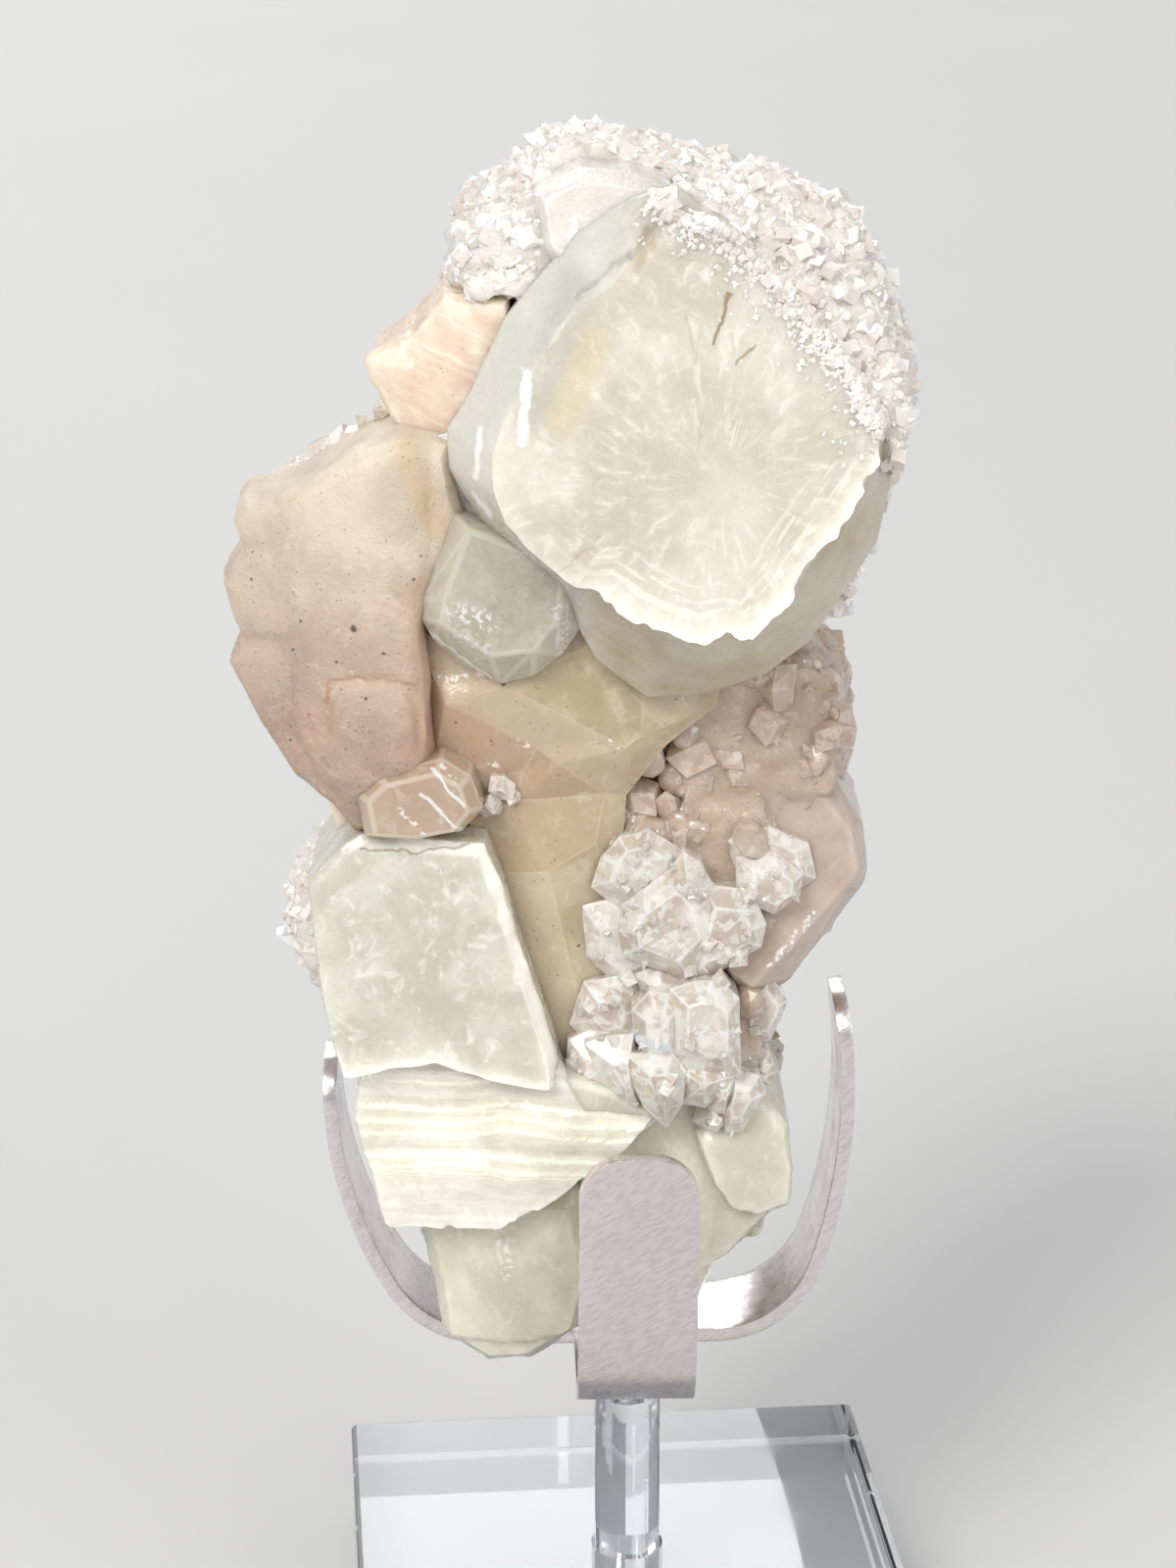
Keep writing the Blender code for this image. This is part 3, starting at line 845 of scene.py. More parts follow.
def nickel(name, colour):
    """Bright plated sheet with fine brushing and a few stains."""
    made, tree, shader = new_material(name)
    place = node(tree, "ShaderNodeTexCoord").outputs["Object"]
    leaning = node(tree, "ShaderNodeMapping", {"Vector": place, "Rotation": (0.0, 0.6, 0.0)}).outputs[0]
    turned = node(tree, "ShaderNodeMapping", {"Vector": leaning, "Scale": (900.0, 900.0, 4500.0)}).outputs[0]
    brushed = fog(tree, turned, 1.0, 3.0, 0.6, 0.3)
    stains = fog(tree, place, 260.0, 4.0, 0.6, 0.4)
    tone = mix(tree, span(tree, brushed, 0.4, 0.62, 0.0, 0.35), colour, srgb(190, 180, 180))
    tone = mix(tree, span(tree, stains, 0.6, 0.74, 0.0, 0.35), tone, srgb(150, 138, 136))
    tree.links.new(tone, shader.inputs["Base Color"])
    tree.links.new(span(tree, stains, 0.3, 0.7, 0.2, 0.34), shader.inputs["Roughness"])
    raised = node(tree, "ShaderNodeBump", {"Height": brushed, "Strength": 0.25, "Distance": 0.00008})
    tree.links.new(raised.outputs[0], shader.inputs["Normal"])
    shader.inputs["Metallic"].default_value = 1.0
    return made


# white for painted highlights and glints, drawn as strokes where bevels and facets catch the light
PAINTED_HIGHLIGHT = (255, 255, 255)
STREAK = (140, 112, 72)
# darker amber painted below the plate's lip: partly the side's own amber tone, partly painted shade under the
# overhang
AMBER_AND_LIP_SHADE = (178, 165, 134)
PLATE_STROKES = [
    ((-4.4, 130.2), (-7.8, 121.5), 4.6, (178, 178, 166), 0.45, False),
    ((-3.0, 126.2), (-5.6, 120.6), 4.2, (214, 196, 142), 0.35, False),
    ((1.5, 135.0), (0.2, 132.4), 1.6, (160, 142, 106), 0.45, False),
    ((3.0, 137.2), (-0.4, 133.0), 0.8, (150, 146, 134), 0.5, False),
    ((-0.4, 133.0), (-4.4, 129.8), 0.6, (150, 146, 134), 0.4, False),
    ((7.3, 130.2), (6.2, 126.4), 0.45, STREAK, 0.8, False),
    ((9.1, 126.4), (7.9, 125.0), 0.4, STREAK, 0.6, False),
    ((3.9, 129.0), (4.7, 125.0), 0.3, STREAK, 0.2, False),
    ((5.2, 121.4), (4.9, 118.5), 0.3, STREAK, 0.15, False),
    ((-5.9, 109.0), (-2.6, 111.8), 0.35, STREAK, 0.25, False),
    # painted highlights: white streaks where the left bevel catches the light
    ((-8.4, 124.1), (-8.7, 118.9), 1.0, PAINTED_HIGHLIGHT, 0.95, False),
    ((-12.0, 119.3), (-12.4, 115.7), 0.75, PAINTED_HIGHLIGHT, 0.95, False),
    ((-12.6, 113.9), (-11.4, 112.5), 0.9, PAINTED_HIGHLIGHT, 0.95, False),
]
PLATE = calcite("calcite_plate", (223, 218, 204), (202, 195, 178), (250, 247, 236), cloud=0.09, veil=0.35,
    gloss=0.26, polish=0.2, radial=(6.5, 116.0), side=AMBER_AND_LIP_SHADE, strokes=PLATE_STROKES, edging=0.9)
CROWN_GLASS = calcite("calcite_crown", (232, 224, 216), (216, 206, 198), (248, 246, 240), veil=0.5, gloss=0.2,
    polish=0.3, edging=0.3, bump=0.5, varied=0.3, strokes=[
    # painted glints on the crown's facets
    ((-4.7, 134.3), (-5.5, 130.8), 0.5, PAINTED_HIGHLIGHT, 0.8, False),
    ((-4.4, 134.6), (-3.2, 133.4), 1.6, PAINTED_HIGHLIGHT, 0.8, True),
])
PEACH_LEVELS = [(84.0, (186, 159, 142)), (94.0, (202, 174, 156)), (103.0, (220, 198, 179)),
                (112.0, (238, 223, 202)), (120.0, (245, 234, 213))]
PEACH = calcite("calcite_peach", (255, 254, 252), (232, 228, 226), (250, 238, 220), cloud=0.14, veil=0.3,
    specks=0.6, gloss=0.4, polish=0.05, bump=0.8, fine=3.5, depth=1.6, levels=PEACH_LEVELS, edging=0.3, strokes=[
    ((-22.4, 103.2), (-22.3, 103.1), 0.9, (50, 36, 28), 0.9, False),
    ((-18.0, 117.0), (-15.6, 111.0), 3.2, (228, 194, 156), 0.5, False),
    ((-17.0, 106.0), (-16.6, 88.0), 2.6, (204, 164, 134), 0.4, False),
    ((-24.4, 98.4), (-24.7, 96.6), 0.5, (170, 126, 96), 0.5, False),
    ((-24.4, 98.6), (-21.5, 98.9), 0.5, (170, 126, 96), 0.5, False),
    ((-21.5, 98.9), (-17.6, 98.2), 0.5, (170, 126, 96), 0.4, False),
    # a painted glint
    ((-22.6, 99.4), (-21.6, 98.4), 0.4, PAINTED_HIGHLIGHT, 0.5, True),
])
PEACH_BLOCK_LOOK = calcite("calcite_banded", (242, 224, 200), (228, 196, 172), (250, 242, 226), cloud=0.22,
    veil=0.4, specks=0.35, gloss=0.35, bump=0.35, stripes=((0.45, 0.0, 0.89), 1.5))
GREY_GLASS = calcite("calcite_grey_glass", (208, 202, 182), (190, 182, 160), (242, 240, 228), veil=0.35,
    specks=0.35, body=0.6, clear=0.2, gloss=0.1, polish=0.5, edging=0.35, varied=0.2, inner=0.15, strokes=[
    # painted glints on the glassy crystal's face, and a painted highlight along its lower left rim
    ((-14.0, 104.3), (-11.8, 103.6), 2.6, PAINTED_HIGHLIGHT, 0.85, True),
    ((-13.8, 102.4), (-11.8, 101.4), 2.0, PAINTED_HIGHLIGHT, 0.4, True),
    ((-5.8, 104.6), (-5.6, 100.6), 1.8, PAINTED_HIGHLIGHT, 0.7, True),
    ((-16.4, 102.4), (-11.4, 98.4), 0.45, PAINTED_HIGHLIGHT, 0.8, False),
])
FACET_SHEET = calcite("calcite_facets", (194, 179, 148), (176, 159, 128), (224, 211, 189), veil=0.4, specks=0.52,
    body=0.65, gloss=0.15, polish=0.3, edging=0.3, varied=0.3, cloud=0.2, toned=(188, 159, 134), strokes=[
    # painted glints along facet edges
    ((-16.0, 97.6), (-12.0, 98.4), 0.7, PAINTED_HIGHLIGHT, 0.7, True),
    ((-9.6, 92.6), (-8.6, 92.0), 0.9, PAINTED_HIGHLIGHT, 0.7, True),
    ((-1.8, 92.9), (-0.9, 92.3), 1.0, PAINTED_HIGHLIGHT, 0.7, True),
    ((4.0, 95.8), (5.6, 96.6), 0.4, PAINTED_HIGHLIGHT, 0.5, True),
    ((-11.4, 89.8), (-10.4, 86.8), 1.4, PAINTED_HIGHLIGHT, 0.9, True),
])
PINK = calcite("calcite_pink", (204, 184, 168), (184, 160, 144), (230, 216, 204), cloud=0.16, veil=0.35,
    specks=0.35, body=0.65, clear=0.1, gloss=0.15, polish=0.35, varied=0.2, edging=0.2, strokes=[
    # painted glints in a zigzag along the crystal's edge
    ((11.6, 72.8), (15.4, 77.0), 1.0, PAINTED_HIGHLIGHT, 0.9, True),
])
MATRIX = calcite("calcite_matrix", (246, 242, 234), (230, 222, 212), (252, 250, 246), cloud=0.2, veil=0.3,
    specks=0.45, body=0.5, gloss=0.15, polish=0.5, bump=0.6, fine=3.0, toned=(192, 169, 148))
SUGAR = calcite("calcite_sugar", (250, 246, 240), (232, 222, 214), (255, 255, 253), cloud=0.3, veil=0.4, body=0.0,
    clear=0.06, gloss=0.08, polish=0.6, bump=0.1, varied=0.8)
PINK_DRUSE = calcite("calcite_pink_druse", (204, 182, 165), (184, 160, 142), (236, 224, 212), cloud=0.3, veil=0.3,
    specks=0.35, body=0.3, clear=0.08, gloss=0.1, polish=0.6, bump=0.2, varied=0.3, edging=0.2, inner=0.4)
CLEAR = calcite("calcite_clear", (238, 230, 219), (202, 187, 172), (255, 255, 252), cloud=0.35, veil=0.5,
    specks=0.25, body=0.2, clear=0.16, gloss=0.05, polish=0.8, bump=0.3, varied=0.6, edging=0.5, inner=0.55, strokes=[
    # painted glints and highlights on the clusters, some bluish white
    ((9.4, 81.2), (12.2, 81.8), 1.8, PAINTED_HIGHLIGHT, 0.9, True),
    ((0.6, 67.4), (3.0, 66.8), 1.5, (238, 248, 255), 0.95, False),
    ((1.6, 65.8), (3.2, 66.8), 1.0, (238, 248, 255), 0.9, True),
    ((3.8, 68.6), (8.4, 68.0), 1.6, PAINTED_HIGHLIGHT, 0.6, True),
])
STRIPED = calcite("calcite_striped", (214, 190, 166), (198, 170, 146), (238, 226, 208), body=0.5, clear=0.2,
    gloss=0.08, polish=0.6, specks=0.2, strokes=[
    # painted glints along the crystal's parallel growth steps
    ((-16.2, 91.4), (-13.8, 88.4), 0.4, PAINTED_HIGHLIGHT, 0.95, False),
    ((-17.0, 89.2), (-13.7, 85.8), 0.45, PAINTED_HIGHLIGHT, 0.95, False),
    ((-18.6, 88.0), (-17.0, 86.0), 0.7, PAINTED_HIGHLIGHT, 0.9, True),
    ((-15.4, 91.4), (-13.4, 89.8), 0.4, PAINTED_HIGHLIGHT, 0.8, True),
])
TABULAR_LOOK = calcite("calcite_tabular", (214, 212, 198), (194, 191, 175), (246, 244, 234), cloud=0.18, veil=0.7,
    specks=0.2, gloss=0.25, polish=0.3, edging=0.9, strokes=[
    ((-22.2, 84.3), (-17.6, 83.9), 0.3, STREAK, 0.6, False),
    ((-17.6, 83.9), (-13.2, 84.4), 0.3, STREAK, 0.6, False),
])
WHITE = calcite("calcite_white", (232, 229, 217), (216, 212, 197), (253, 252, 242), cloud=0.2, veil=0.5, gloss=0.25,
    edging=0.9, stripes=((0.05, 0.0, 1.0), 0.8))
GREENISH = calcite("calcite_greenish", (222, 218, 198), (201, 197, 175), (246, 244, 228), cloud=0.14, veil=0.45,
    specks=0.1, body=0.75, gloss=0.2, strokes=[
    # a painted glint
    ((-11.2, 50.6), (-10.6, 45.4), 1.8, PAINTED_HIGHLIGHT, 0.5, True),
])


# The plate at the top

PLATE_FACE = [(3.2, 136.9), (1.5, 134.7), (-2.1, 130.7), (-4.4, 129.4), (-6.6, 126.7), (-8.5, 123.8),
    (-10.4, 120.4), (-11.2, 118.2), (-11.2, 115.2), (-10.1, 112.6), (-7.4, 109.9), (-4.7, 107.8), (-2.7, 107.8),
    (0.2, 106), (2.5, 104.9), (5.2, 104.1), (7.5, 104.6), (9.1, 104.3), (11.7, 107), (14, 110.4), (15.9, 113),
    (18.8, 117.5), (19.3, 120.3), (16.3, 125.2), (11.6, 130.2), (7.5, 134.4)]
PLATE_RIM = [(3.3, 137.6), (-0.4, 136.6), (-4.6, 133.9), (-7.8, 130.2), (-10.2, 127.4), (-12.9, 121.5),
    (-14.8, 118.5), (-14.6, 115.4), (-13.3, 113.2), (-11.4, 110.5), (-9.1, 108.2), (-6.4, 106.2), (-3, 100),
    (1.2, 96.8), (6, 97.2), (10.8, 98.9), (14, 101.4), (16.3, 104.7), (19.6, 109.6), (20.9, 116.4), (20.4, 119.6),
    (17.0, 125.4), (12.2, 130.4), (8.0, 134.7)]


def plate_relief(points, extra):
    """The raised ragged lip along the plate's lower edge, and the clear band at its left."""
    aside = points[:, 0] - 4
    up = points[:, 2] - 119
    edge = extra["edge"]
    low = np.clip((-up - 4 + 0.35 * np.maximum(aside, 0)) / 3, 0, 1)
    extra["lip"] = low * np.clip((aside + 9) / 4, 0.25, 1)
    extra["glass"] = np.clip(-extra["rim"] / 0.4, 0, 1) * np.clip((-aside - 3) / 3, 0, 1) * (up > -14)
    ragged = 0.65 + 0.45 * noise(points, 2.0, 5) + 0.35 * noise(points, 0.8, 6)
    lip = edge**0.7 * extra["lip"] * ragged
    points[:, 1] -= 0.9 * lip
    outward = np.stack((aside, up), axis=1) / (np.hypot(aside, up)[:, None] + 0.01)
    points[:, 0] += outward[:, 0] * 0.9 * lip
    points[:, 2] += outward[:, 1] * 0.9 * lip
    # the pale edge, a painted highlight, is kept mostly along the lip
    extra["edge"] = edge * np.clip(0.12 + extra["lip"], 0, 1)


def make_plate():
    stations = [
        (PLATE_FACE, -22.0, 0, 0.985),
        (PLATE_FACE, -21.4, 3, 1.0),
        (PLATE_RIM, -15.5, 16, 1.0),
        (PLATE_RIM, -3.0, 10, 0.97),
    ]
    loft("plate_crystal", PLATE, (4.0, 119.0), stations, count=320, face_rows=46, dome=0.5, lean=0.17,
         relief=plate_relief, bumps=0.25, bump_size=8.0, grain=0.03, chips=0.25, seed=3)
    corner = [(-7.9, 136.6), (-4.3, 138.6), (-0.2, 138.2), (3.0, 137.4), (-0.6, 133.4), (-3.4, 130.8),
              (-5.6, 130.6), (-7.2, 132.6)]
    faceted("crown_facets", CROWN_GLASS,
            prism(corner, (-14.4, 0.8, 0.35, -0.1), (-12.4, 1.0, 0.35), (-4.0,)), worn=0.15, band=0.1, seed=4)


# The rounded peach crystal at the left

PEACH_FACE = [(-31.4, 112.2), (-29, 112.4), (-27, 113.7), (-24.5, 115.2), (-22.1, 116.9), (-18.4, 118.3),
    (-14.6, 117.5), (-13.6, 112), (-15.0, 108.7), (-16.0, 105.5), (-16.8, 102.6), (-16.4, 98.9), (-16, 90.6),
    (-16.5, 85.2), (-22.6, 84.8), (-24.5, 87.2), (-27.7, 89.3), (-30.4, 93.1), (-33.2, 98.1), (-32.0, 100.1),
    (-33, 102.5), (-33.7, 105), (-31.7, 107.9), (-32.5, 110.1), (-32.3, 111.1)]
ARCH_MIDDLE = (-21.0, 93.4)
ARCH_HALF = (3.8, 5.4)


def peach_relief(points, extra):
    """Rounded towards the left, with three growth lobes, an arch, and nested lines by the lower left edge."""
    aside = points[:, 0]
    height = points[:, 2]
    front = np.clip((-6 - points[:, 1]) / 3, 0, 1)
    left = np.clip((-21 - aside) / 12, 0, 1)
    right = np.clip((aside + 19.0) / 3, 0, 1)
    points[:, 1] += np.clip((5 - points[:, 1]) / 20, 0, 1) * (5.5 * left**1.5 + 1.2 * right**2)
    reach = (np.abs((aside - ARCH_MIDDLE[0]) / ARCH_HALF[0]) ** 3
             + np.abs((height - ARCH_MIDDLE[1]) / ARCH_HALF[1]) ** 3) ** (1 / 3)
    above = np.clip((height - 92.5) / 2, 0, 1)
    groove = np.exp(-(((reach - 1) * 4.5 / 0.35) ** 2)) * above
    points[:, 1] += front * (0.3 * groove - 0.2 * np.clip((1 - reach) * 6, 0, 1) * above)
    upper = np.hypot((aside + 21.5) / 6.4, (height - 97.0) / 9.0) + 0.05 * noise(points, 3.0, 12)
    points[:, 1] -= front * 0.5 * np.clip((1 - upper) * 9, 0, 1)
    nested = np.clip((98 - height) / 3, 0, 1) * np.clip((extra["rim"] - 0.5) / 1.0, 0, 1)
    nested *= np.clip((-23.5 - aside) / 1.5, 0, 1)
    wavy = extra["rim"] / 0.95 + 0.25 * noise(points, 2.5, 13)
    points[:, 1] += front * nested * 0.22 * (wavy - np.floor(wavy)) ** 2
    for notch in (100.1, 107.9):
        crease = np.exp(-((height - notch - (aside + 32) * 0.25) ** 2) / 0.5)
        points[:, 1] += front * 0.7 * crease * np.clip((-26 - aside) / 6, 0, 1)
    extra["edge"] = extra["edge"] * 0.15


def make_peach():
    stations = [
        (PEACH_FACE, -17.5, 0, 0.93),
        (PEACH_FACE, -16.3, 4, 0.985),
        (PEACH_FACE, -14.2, 4, 1.0),
        (PEACH_FACE, -6.0, 10, 1.0),
        (PEACH_FACE, 5.0, 10, 0.82),
    ]
    loft("peach_crystal", PEACH, (-24.0, 100.5), stations, count=300, face_rows=48, dome=0.9, relief=peach_relief,
         bumps=0.3, bump_size=5.0, grain=0.07, grain_size=0.9, chips=0.15, seed=11, shade_angle=45.0)


def make_peach_block():
    outline = [(-21.3, 123.4), (-20.2, 124.0), (-17.8, 125.6), (-16.2, 127.6), (-15.2, 128.8), (-9.8, 128.5),
               (-9.8, 115.5), (-17.5, 115.5), (-18.2, 117.2), (-19.3, 118.2), (-20.9, 121.2)]
    stations = [(outline, -12.5, 0, 0.93), (outline, -11.3, 3, 1.0), (outline, 0.0, 12, 0.97), (outline, 8, 6, 0.7)]
    loft("peach_block", PEACH_BLOCK_LOOK, (-15.0, 121.5), stations, count=160, face_rows=20, dome=0.8, turn=-0.25,
         bumps=0.4, bump_size=3.5, chips=0.3, seed=21)


# The faceted crystals of the middle

GLASSY = [(-14.1, 111.8), (-17.0, 104.9), (-17.1, 103.3), (-16.2, 101.6), (-13.9, 99.6), (-10.7, 97.8),
    (-8.0, 98.5), (-5.6, 100.2), (-4.2, 102.5), (-3.9, 108.0)]
GLASSY_END = [(-12.9, 111.0), (-15.1, 105.4), (-15.3, 103.4), (-11.4, 100.8), (-7.9, 101.1), (-5.9, 103.8),
    (-5.7, 108.0)]
STRIPED_SMALL = [(-22.4, 88.9), (-20.6, 90.6), (-15.5, 91.9), (-13.1, 90.5), (-12.2, 87.7), (-13.9, 85.6),
    (-17.9, 84.9), (-21.8, 85.2)]
RIGHT_FACE = [(10.5, 87.0), (15.8, 87.0), (18.4, 83.6), (18.9, 80.7), (18.4, 79.7), (10.2, 70.8), (8.1, 72.2),
    (8.7, 84.0)]
RIGHT_EDGE = [(9.0, 88.6), (17.0, 87.4), (19.6, 83.4), (20.0, 79.6), (19.6, 78.2), (13.5, 69.9), (10.1, 67.6),
    (7.6, 71.0)]
WEDGE = [(-6.0, 64.5), (-1.6, 63.0), (3.2, 59.8), (-0.2, 57.2), (-4.6, 57.6), (-6.4, 61.0)]
PALE_WEDGE = [(-25.6, 90.4), (-23.0, 88.6), (-21.8, 84.0), (-24.6, 83.0), (-25.4, 86.0)]
# (x, y, z) of the corners where the flat faces of the middle meet, by letter
CORNERS = {
    "a": (2.6, -13.0, 105.0), "b": (-6.8, -13.4, 104.9), "c": (-3.6, -14.9, 100.6), "d": (0.8, -13.8, 100.6),
    "e": (-10.4, -15.8, 97.4), "f": (-0.5, -16.0, 92.3), "g": (0.8, -15.2, 93.0), "h": (2.9, -13.6, 91.9),
    "i": (6.9, -12.6, 94.8), "j": (7.4, -12.2, 97.6), "k": (-15.1, -15.4, 95.8), "l": (-16.7, -14.5, 101.6),
    "m": (-16.5, -14.2, 98.4), "n": (-12.7, -15.0, 94.5), "o": (-7.8, -14.6, 91.8), "p": (-5.9, -14.8, 90.4),
    "q": (-8.9, -13.6, 89.5), "r": (-11.9, -13.6, 88.9), "s": (-16.6, -13.4, 89.2), "u": (-9.7, -13.6, 86.9),
    "v": (-0.4, -12.9, 87.2), "w": (-2.2, -13.4, 87.4), "x": (-13.4, -13.2, 84.8), "y": (-3.0, -13.4, 83.2),
    "z": (-6.9, -14.6, 81.1), "A": (-11.2, -13.4, 80.5), "B": (-3.6, -14.2, 65.8), "C": (-6.2, -13.8, 62.4),
    "D": (-1.1, -12.4, 77.0), "E": (-0.3, -12.4, 68.0),
}
# letters round each face, and how brown it is
FACETS = [("abcd", 0.15), ("bec", 0.1), ("ecdgf", 0.0), ("adj", 0.1), ("djihg", 0.1), ("lekm", 0.8),
          ("kefpon", 0.75), ("mknoqrs", 1.0), ("fghvwp", 0.5), ("opwuq", 0.8), ("rqux", 0.9), ("rxs", 0.9),
          ("uwyzAx", 0.5), ("AzBC", 0.45), ("zyDEB", 0.15), ("ywvD", 0.3)]


def make_middle():
    faceted("glassy_crystal", GREY_GLASS, prism(GLASSY_END, (-18.4,)) + prism(GLASSY, (-16.4,), (-5,)),
            worn=0.2, band=0.12, bumps=0.25, seed=31)
    facet_sheet("middle_facets", FACET_SHEET, CORNERS, FACETS, -2.0, 32)
    faceted("striped_crystal", STRIPED, prism(STRIPED_SMALL, (-19.2, 0.8), (-17.6,), (-8,)),
            seed=35, worn=0.2, band=0.15)
    faceted("right_pink_crystal", PINK, prism(RIGHT_FACE, (-12.6, 1.0, 0.2))
            + prism(RIGHT_EDGE, (-9.6, 1.0, 0.1), (3,)), seed=40, worn=0.3)
    faceted("pale_wedge", PEACH_BLOCK_LOOK, prism(PALE_WEDGE, (-11.0, 0.85), (-9.0,), (0,)), seed=47)
    faceted("wedge_crystal", GREENISH, prism(WEDGE, (-17.6, 0.86, 0.0, 0.15), (-15.5,), (-6,)), seed=46)


# The lower crystals

TABULAR = [(-23.8, 84.2), (-22, 85.3), (-12, 84.5), (-10.7, 80.8), (-6, 65.8), (-6.2, 63.4), (-11.7, 64.4),
    (-16.2, 66), (-24, 64.7), (-25.5, 70.4), (-26.7, 81.2)]
TABULAR_FRONT = [(-23.6, 83.6), (-22, 84.4), (-12.6, 83.6), (-11.5, 80.4), (-6.9, 65.8), (-6.7, 63.7),
    (-11.7, 64.6), (-16.2, 66.2), (-23.8, 65.0), (-25.2, 70.4), (-26.4, 81.0)]
STRIATED = [(-22.6, 65.6), (-6.2, 65.6), (-3.6, 61.2), (1.8, 60.2), (-0.1, 57.8), (-3.6, 55), (-6.9, 52.4),
    (-11.1, 50.2), (-16, 50.4), (-20.8, 50.6), (-22.6, 57.4), (-23.2, 61)]
BOTTOM = [(-18.8, 52.5), (-4, 52.5), (-2.5, 44), (-3.6, 38.5), (-8.5, 35.0), (-12.4, 34.8), (-16.2, 37.8),
    (-17.2, 44)]
BEHIND_PRONG = [(-5, 54), (5, 56), (8.5, 47), (5.5, 39.8), (-2, 38.2), (-5.5, 44)]
FOOT_SLAB = [(-2.0, 60.0), (3.4, 61.0), (9.0, 59.4), (12.8, 55.0), (13.2, 50.2), (10.6, 47.4), (8.6, 45.2),
    (6.2, 44.0), (2.0, 43.6), (-2.4, 52.0)]
FOOT_FACET = [(5.5, 57.5), (8.0, 60.0), (11.2, 60.6), (13.3, 58.0), (14.0, 54.0), (13.7, 50.6), (11.0, 49.7),
    (8.6, 50.8), (6.9, 53.4)]


def tabular_relief(points, extra):
    """The tablet's right and upper edges are painted pale as a bright bevel, a painted highlight, and its lower edge
    is a raised ridge that is painted pale too.
    """
    height = points[:, 2]
    aside = points[:, 0] + 16.5
    right = np.clip((aside - 0.5 + (height - 75) * 0.35) / 1.5, 0, 1)
    upper = np.clip((height - 83.0) / 0.8, 0, 1) * np.clip((aside + 4) / 2, 0, 1)
    low = np.clip((68 - height) / 2, 0, 1)
    band = np.clip((0.15 - extra["rim"]) / 0.3, 0, 1) * np.clip((1.6 + extra["rim"]) / 0.3, 0, 1)
    points[:, 1] -= 0.6 * low * extra["edge"]
    extra["edge"] = np.clip(band * np.maximum(right, upper) + extra["edge"] * (0.15 + 0.7 * low), 0, 1)


def striated_relief(points, extra):
    """Thin growth layers, each a small step, over the front of the striated crystal."""
    front = points[:, 1] < -13
    upper = np.clip((points[:, 2] - 53.5) / 3, 0.25, 1)
    wavy = points[:, 2] + 0.8 * noise(points, 5.0, 71) + points[:, 0] * 0.05
    layer = wavy / 1.15
    step = layer - np.floor(layer)
    flake = noise(np.floor(layer)[:, None] * np.ones(3), 1.0, 72)
    points[:, 1] -= front * upper * (0.3 * step**2 + 0.16 * flake)
    low = np.clip((54.5 + 0.25 * (points[:, 0] + 10) - points[:, 2]) / 2, 0, 1)
    extra["edge"] = extra["edge"] * np.clip(0.1 + low, 0, 1)


def bottom_relief(points, extra):
    """A terrace a little above the bottom crystal's foot."""
    line = 38.6 + 0.12 * np.abs(points[:, 0] + 10)
    points[:, 1] += np.clip((line - points[:, 2]) / 0.5, 0, 1) * 0.7 * (points[:, 1] < -9)
    extra["edge"] = extra["edge"] * 0.3


def make_lower():
    stations = [(TABULAR_FRONT, -18.6, 0, 1.0), (TABULAR, -17.7, 3, 1.0), (TABULAR, -4.0, 14, 0.99)]
    loft("tabular_crystal", TABULAR_LOOK, (-17.0, 75.5), stations, count=260, face_rows=32, lean=0.1, turn=0.02,
         relief=tabular_relief, bumps=0.2, bump_size=5.0, chips=0.2, seed=41)
    stations = [(STRIATED, -18.2, 0, 0.97), (STRIATED, -17.2, 3, 1.0), (STRIATED, -3.0, 14, 0.95)]
    loft("striated_crystal", WHITE, (-12.5, 57.5), stations, count=240, face_rows=38, relief=striated_relief,
         bumps=0.35, bump_size=4.0, chips=0.55, seed=42)
    stations = [(BOTTOM, -15.6, 0, 0.8), (BOTTOM, -13.6, 5, 0.95), (BOTTOM, -11.0, 3, 1.0), (BOTTOM, -6.0, 6, 1.0),
                (BOTTOM, 4.0, 8, 0.8)]
    loft("bottom_crystal", GREENISH, (-11.0, 44.5), stations, count=180, face_rows=24, dome=0.5,
         relief=bottom_relief, bumps=0.35, bump_size=5.0, chips=0.2, seed=43)
    stations = [(BEHIND_PRONG, -13.6, 0, 0.8), (BEHIND_PRONG, -11.0, 4, 1.0), (BEHIND_PRONG, 4.0, 10, 0.9)]
    loft("prong_crystal", GREENISH, (0.5, 47.5), stations, count=140, face_rows=14, dome=0.4, bumps=0.35, seed=44)
    stations = [(FOOT_SLAB, -13.8, 0, 0.9), (FOOT_SLAB, -12.2, 4, 1.0), (FOOT_SLAB, 3.0, 12, 0.9)]
    loft("foot_slab", GREENISH, (6.0, 53.0), stations, count=140, face_rows=14, dome=0.5, lean=0.08, turn=0.1,
         bumps=0.3, chips=0.25, seed=48)
    stations = [(FOOT_FACET, -14.9, 0, 0.9), (FOOT_FACET, -13.9, 3, 1.0), (FOOT_FACET, 2.0, 10, 0.95)]
    loft("foot_facet", GREENISH, (10.2, 54.8), stations, count=140, face_rows=14, dome=0.4, lean=0.1, turn=0.2,
         bumps=0.25, chips=0.2, seed=45)


# The mass that the crystals grew on

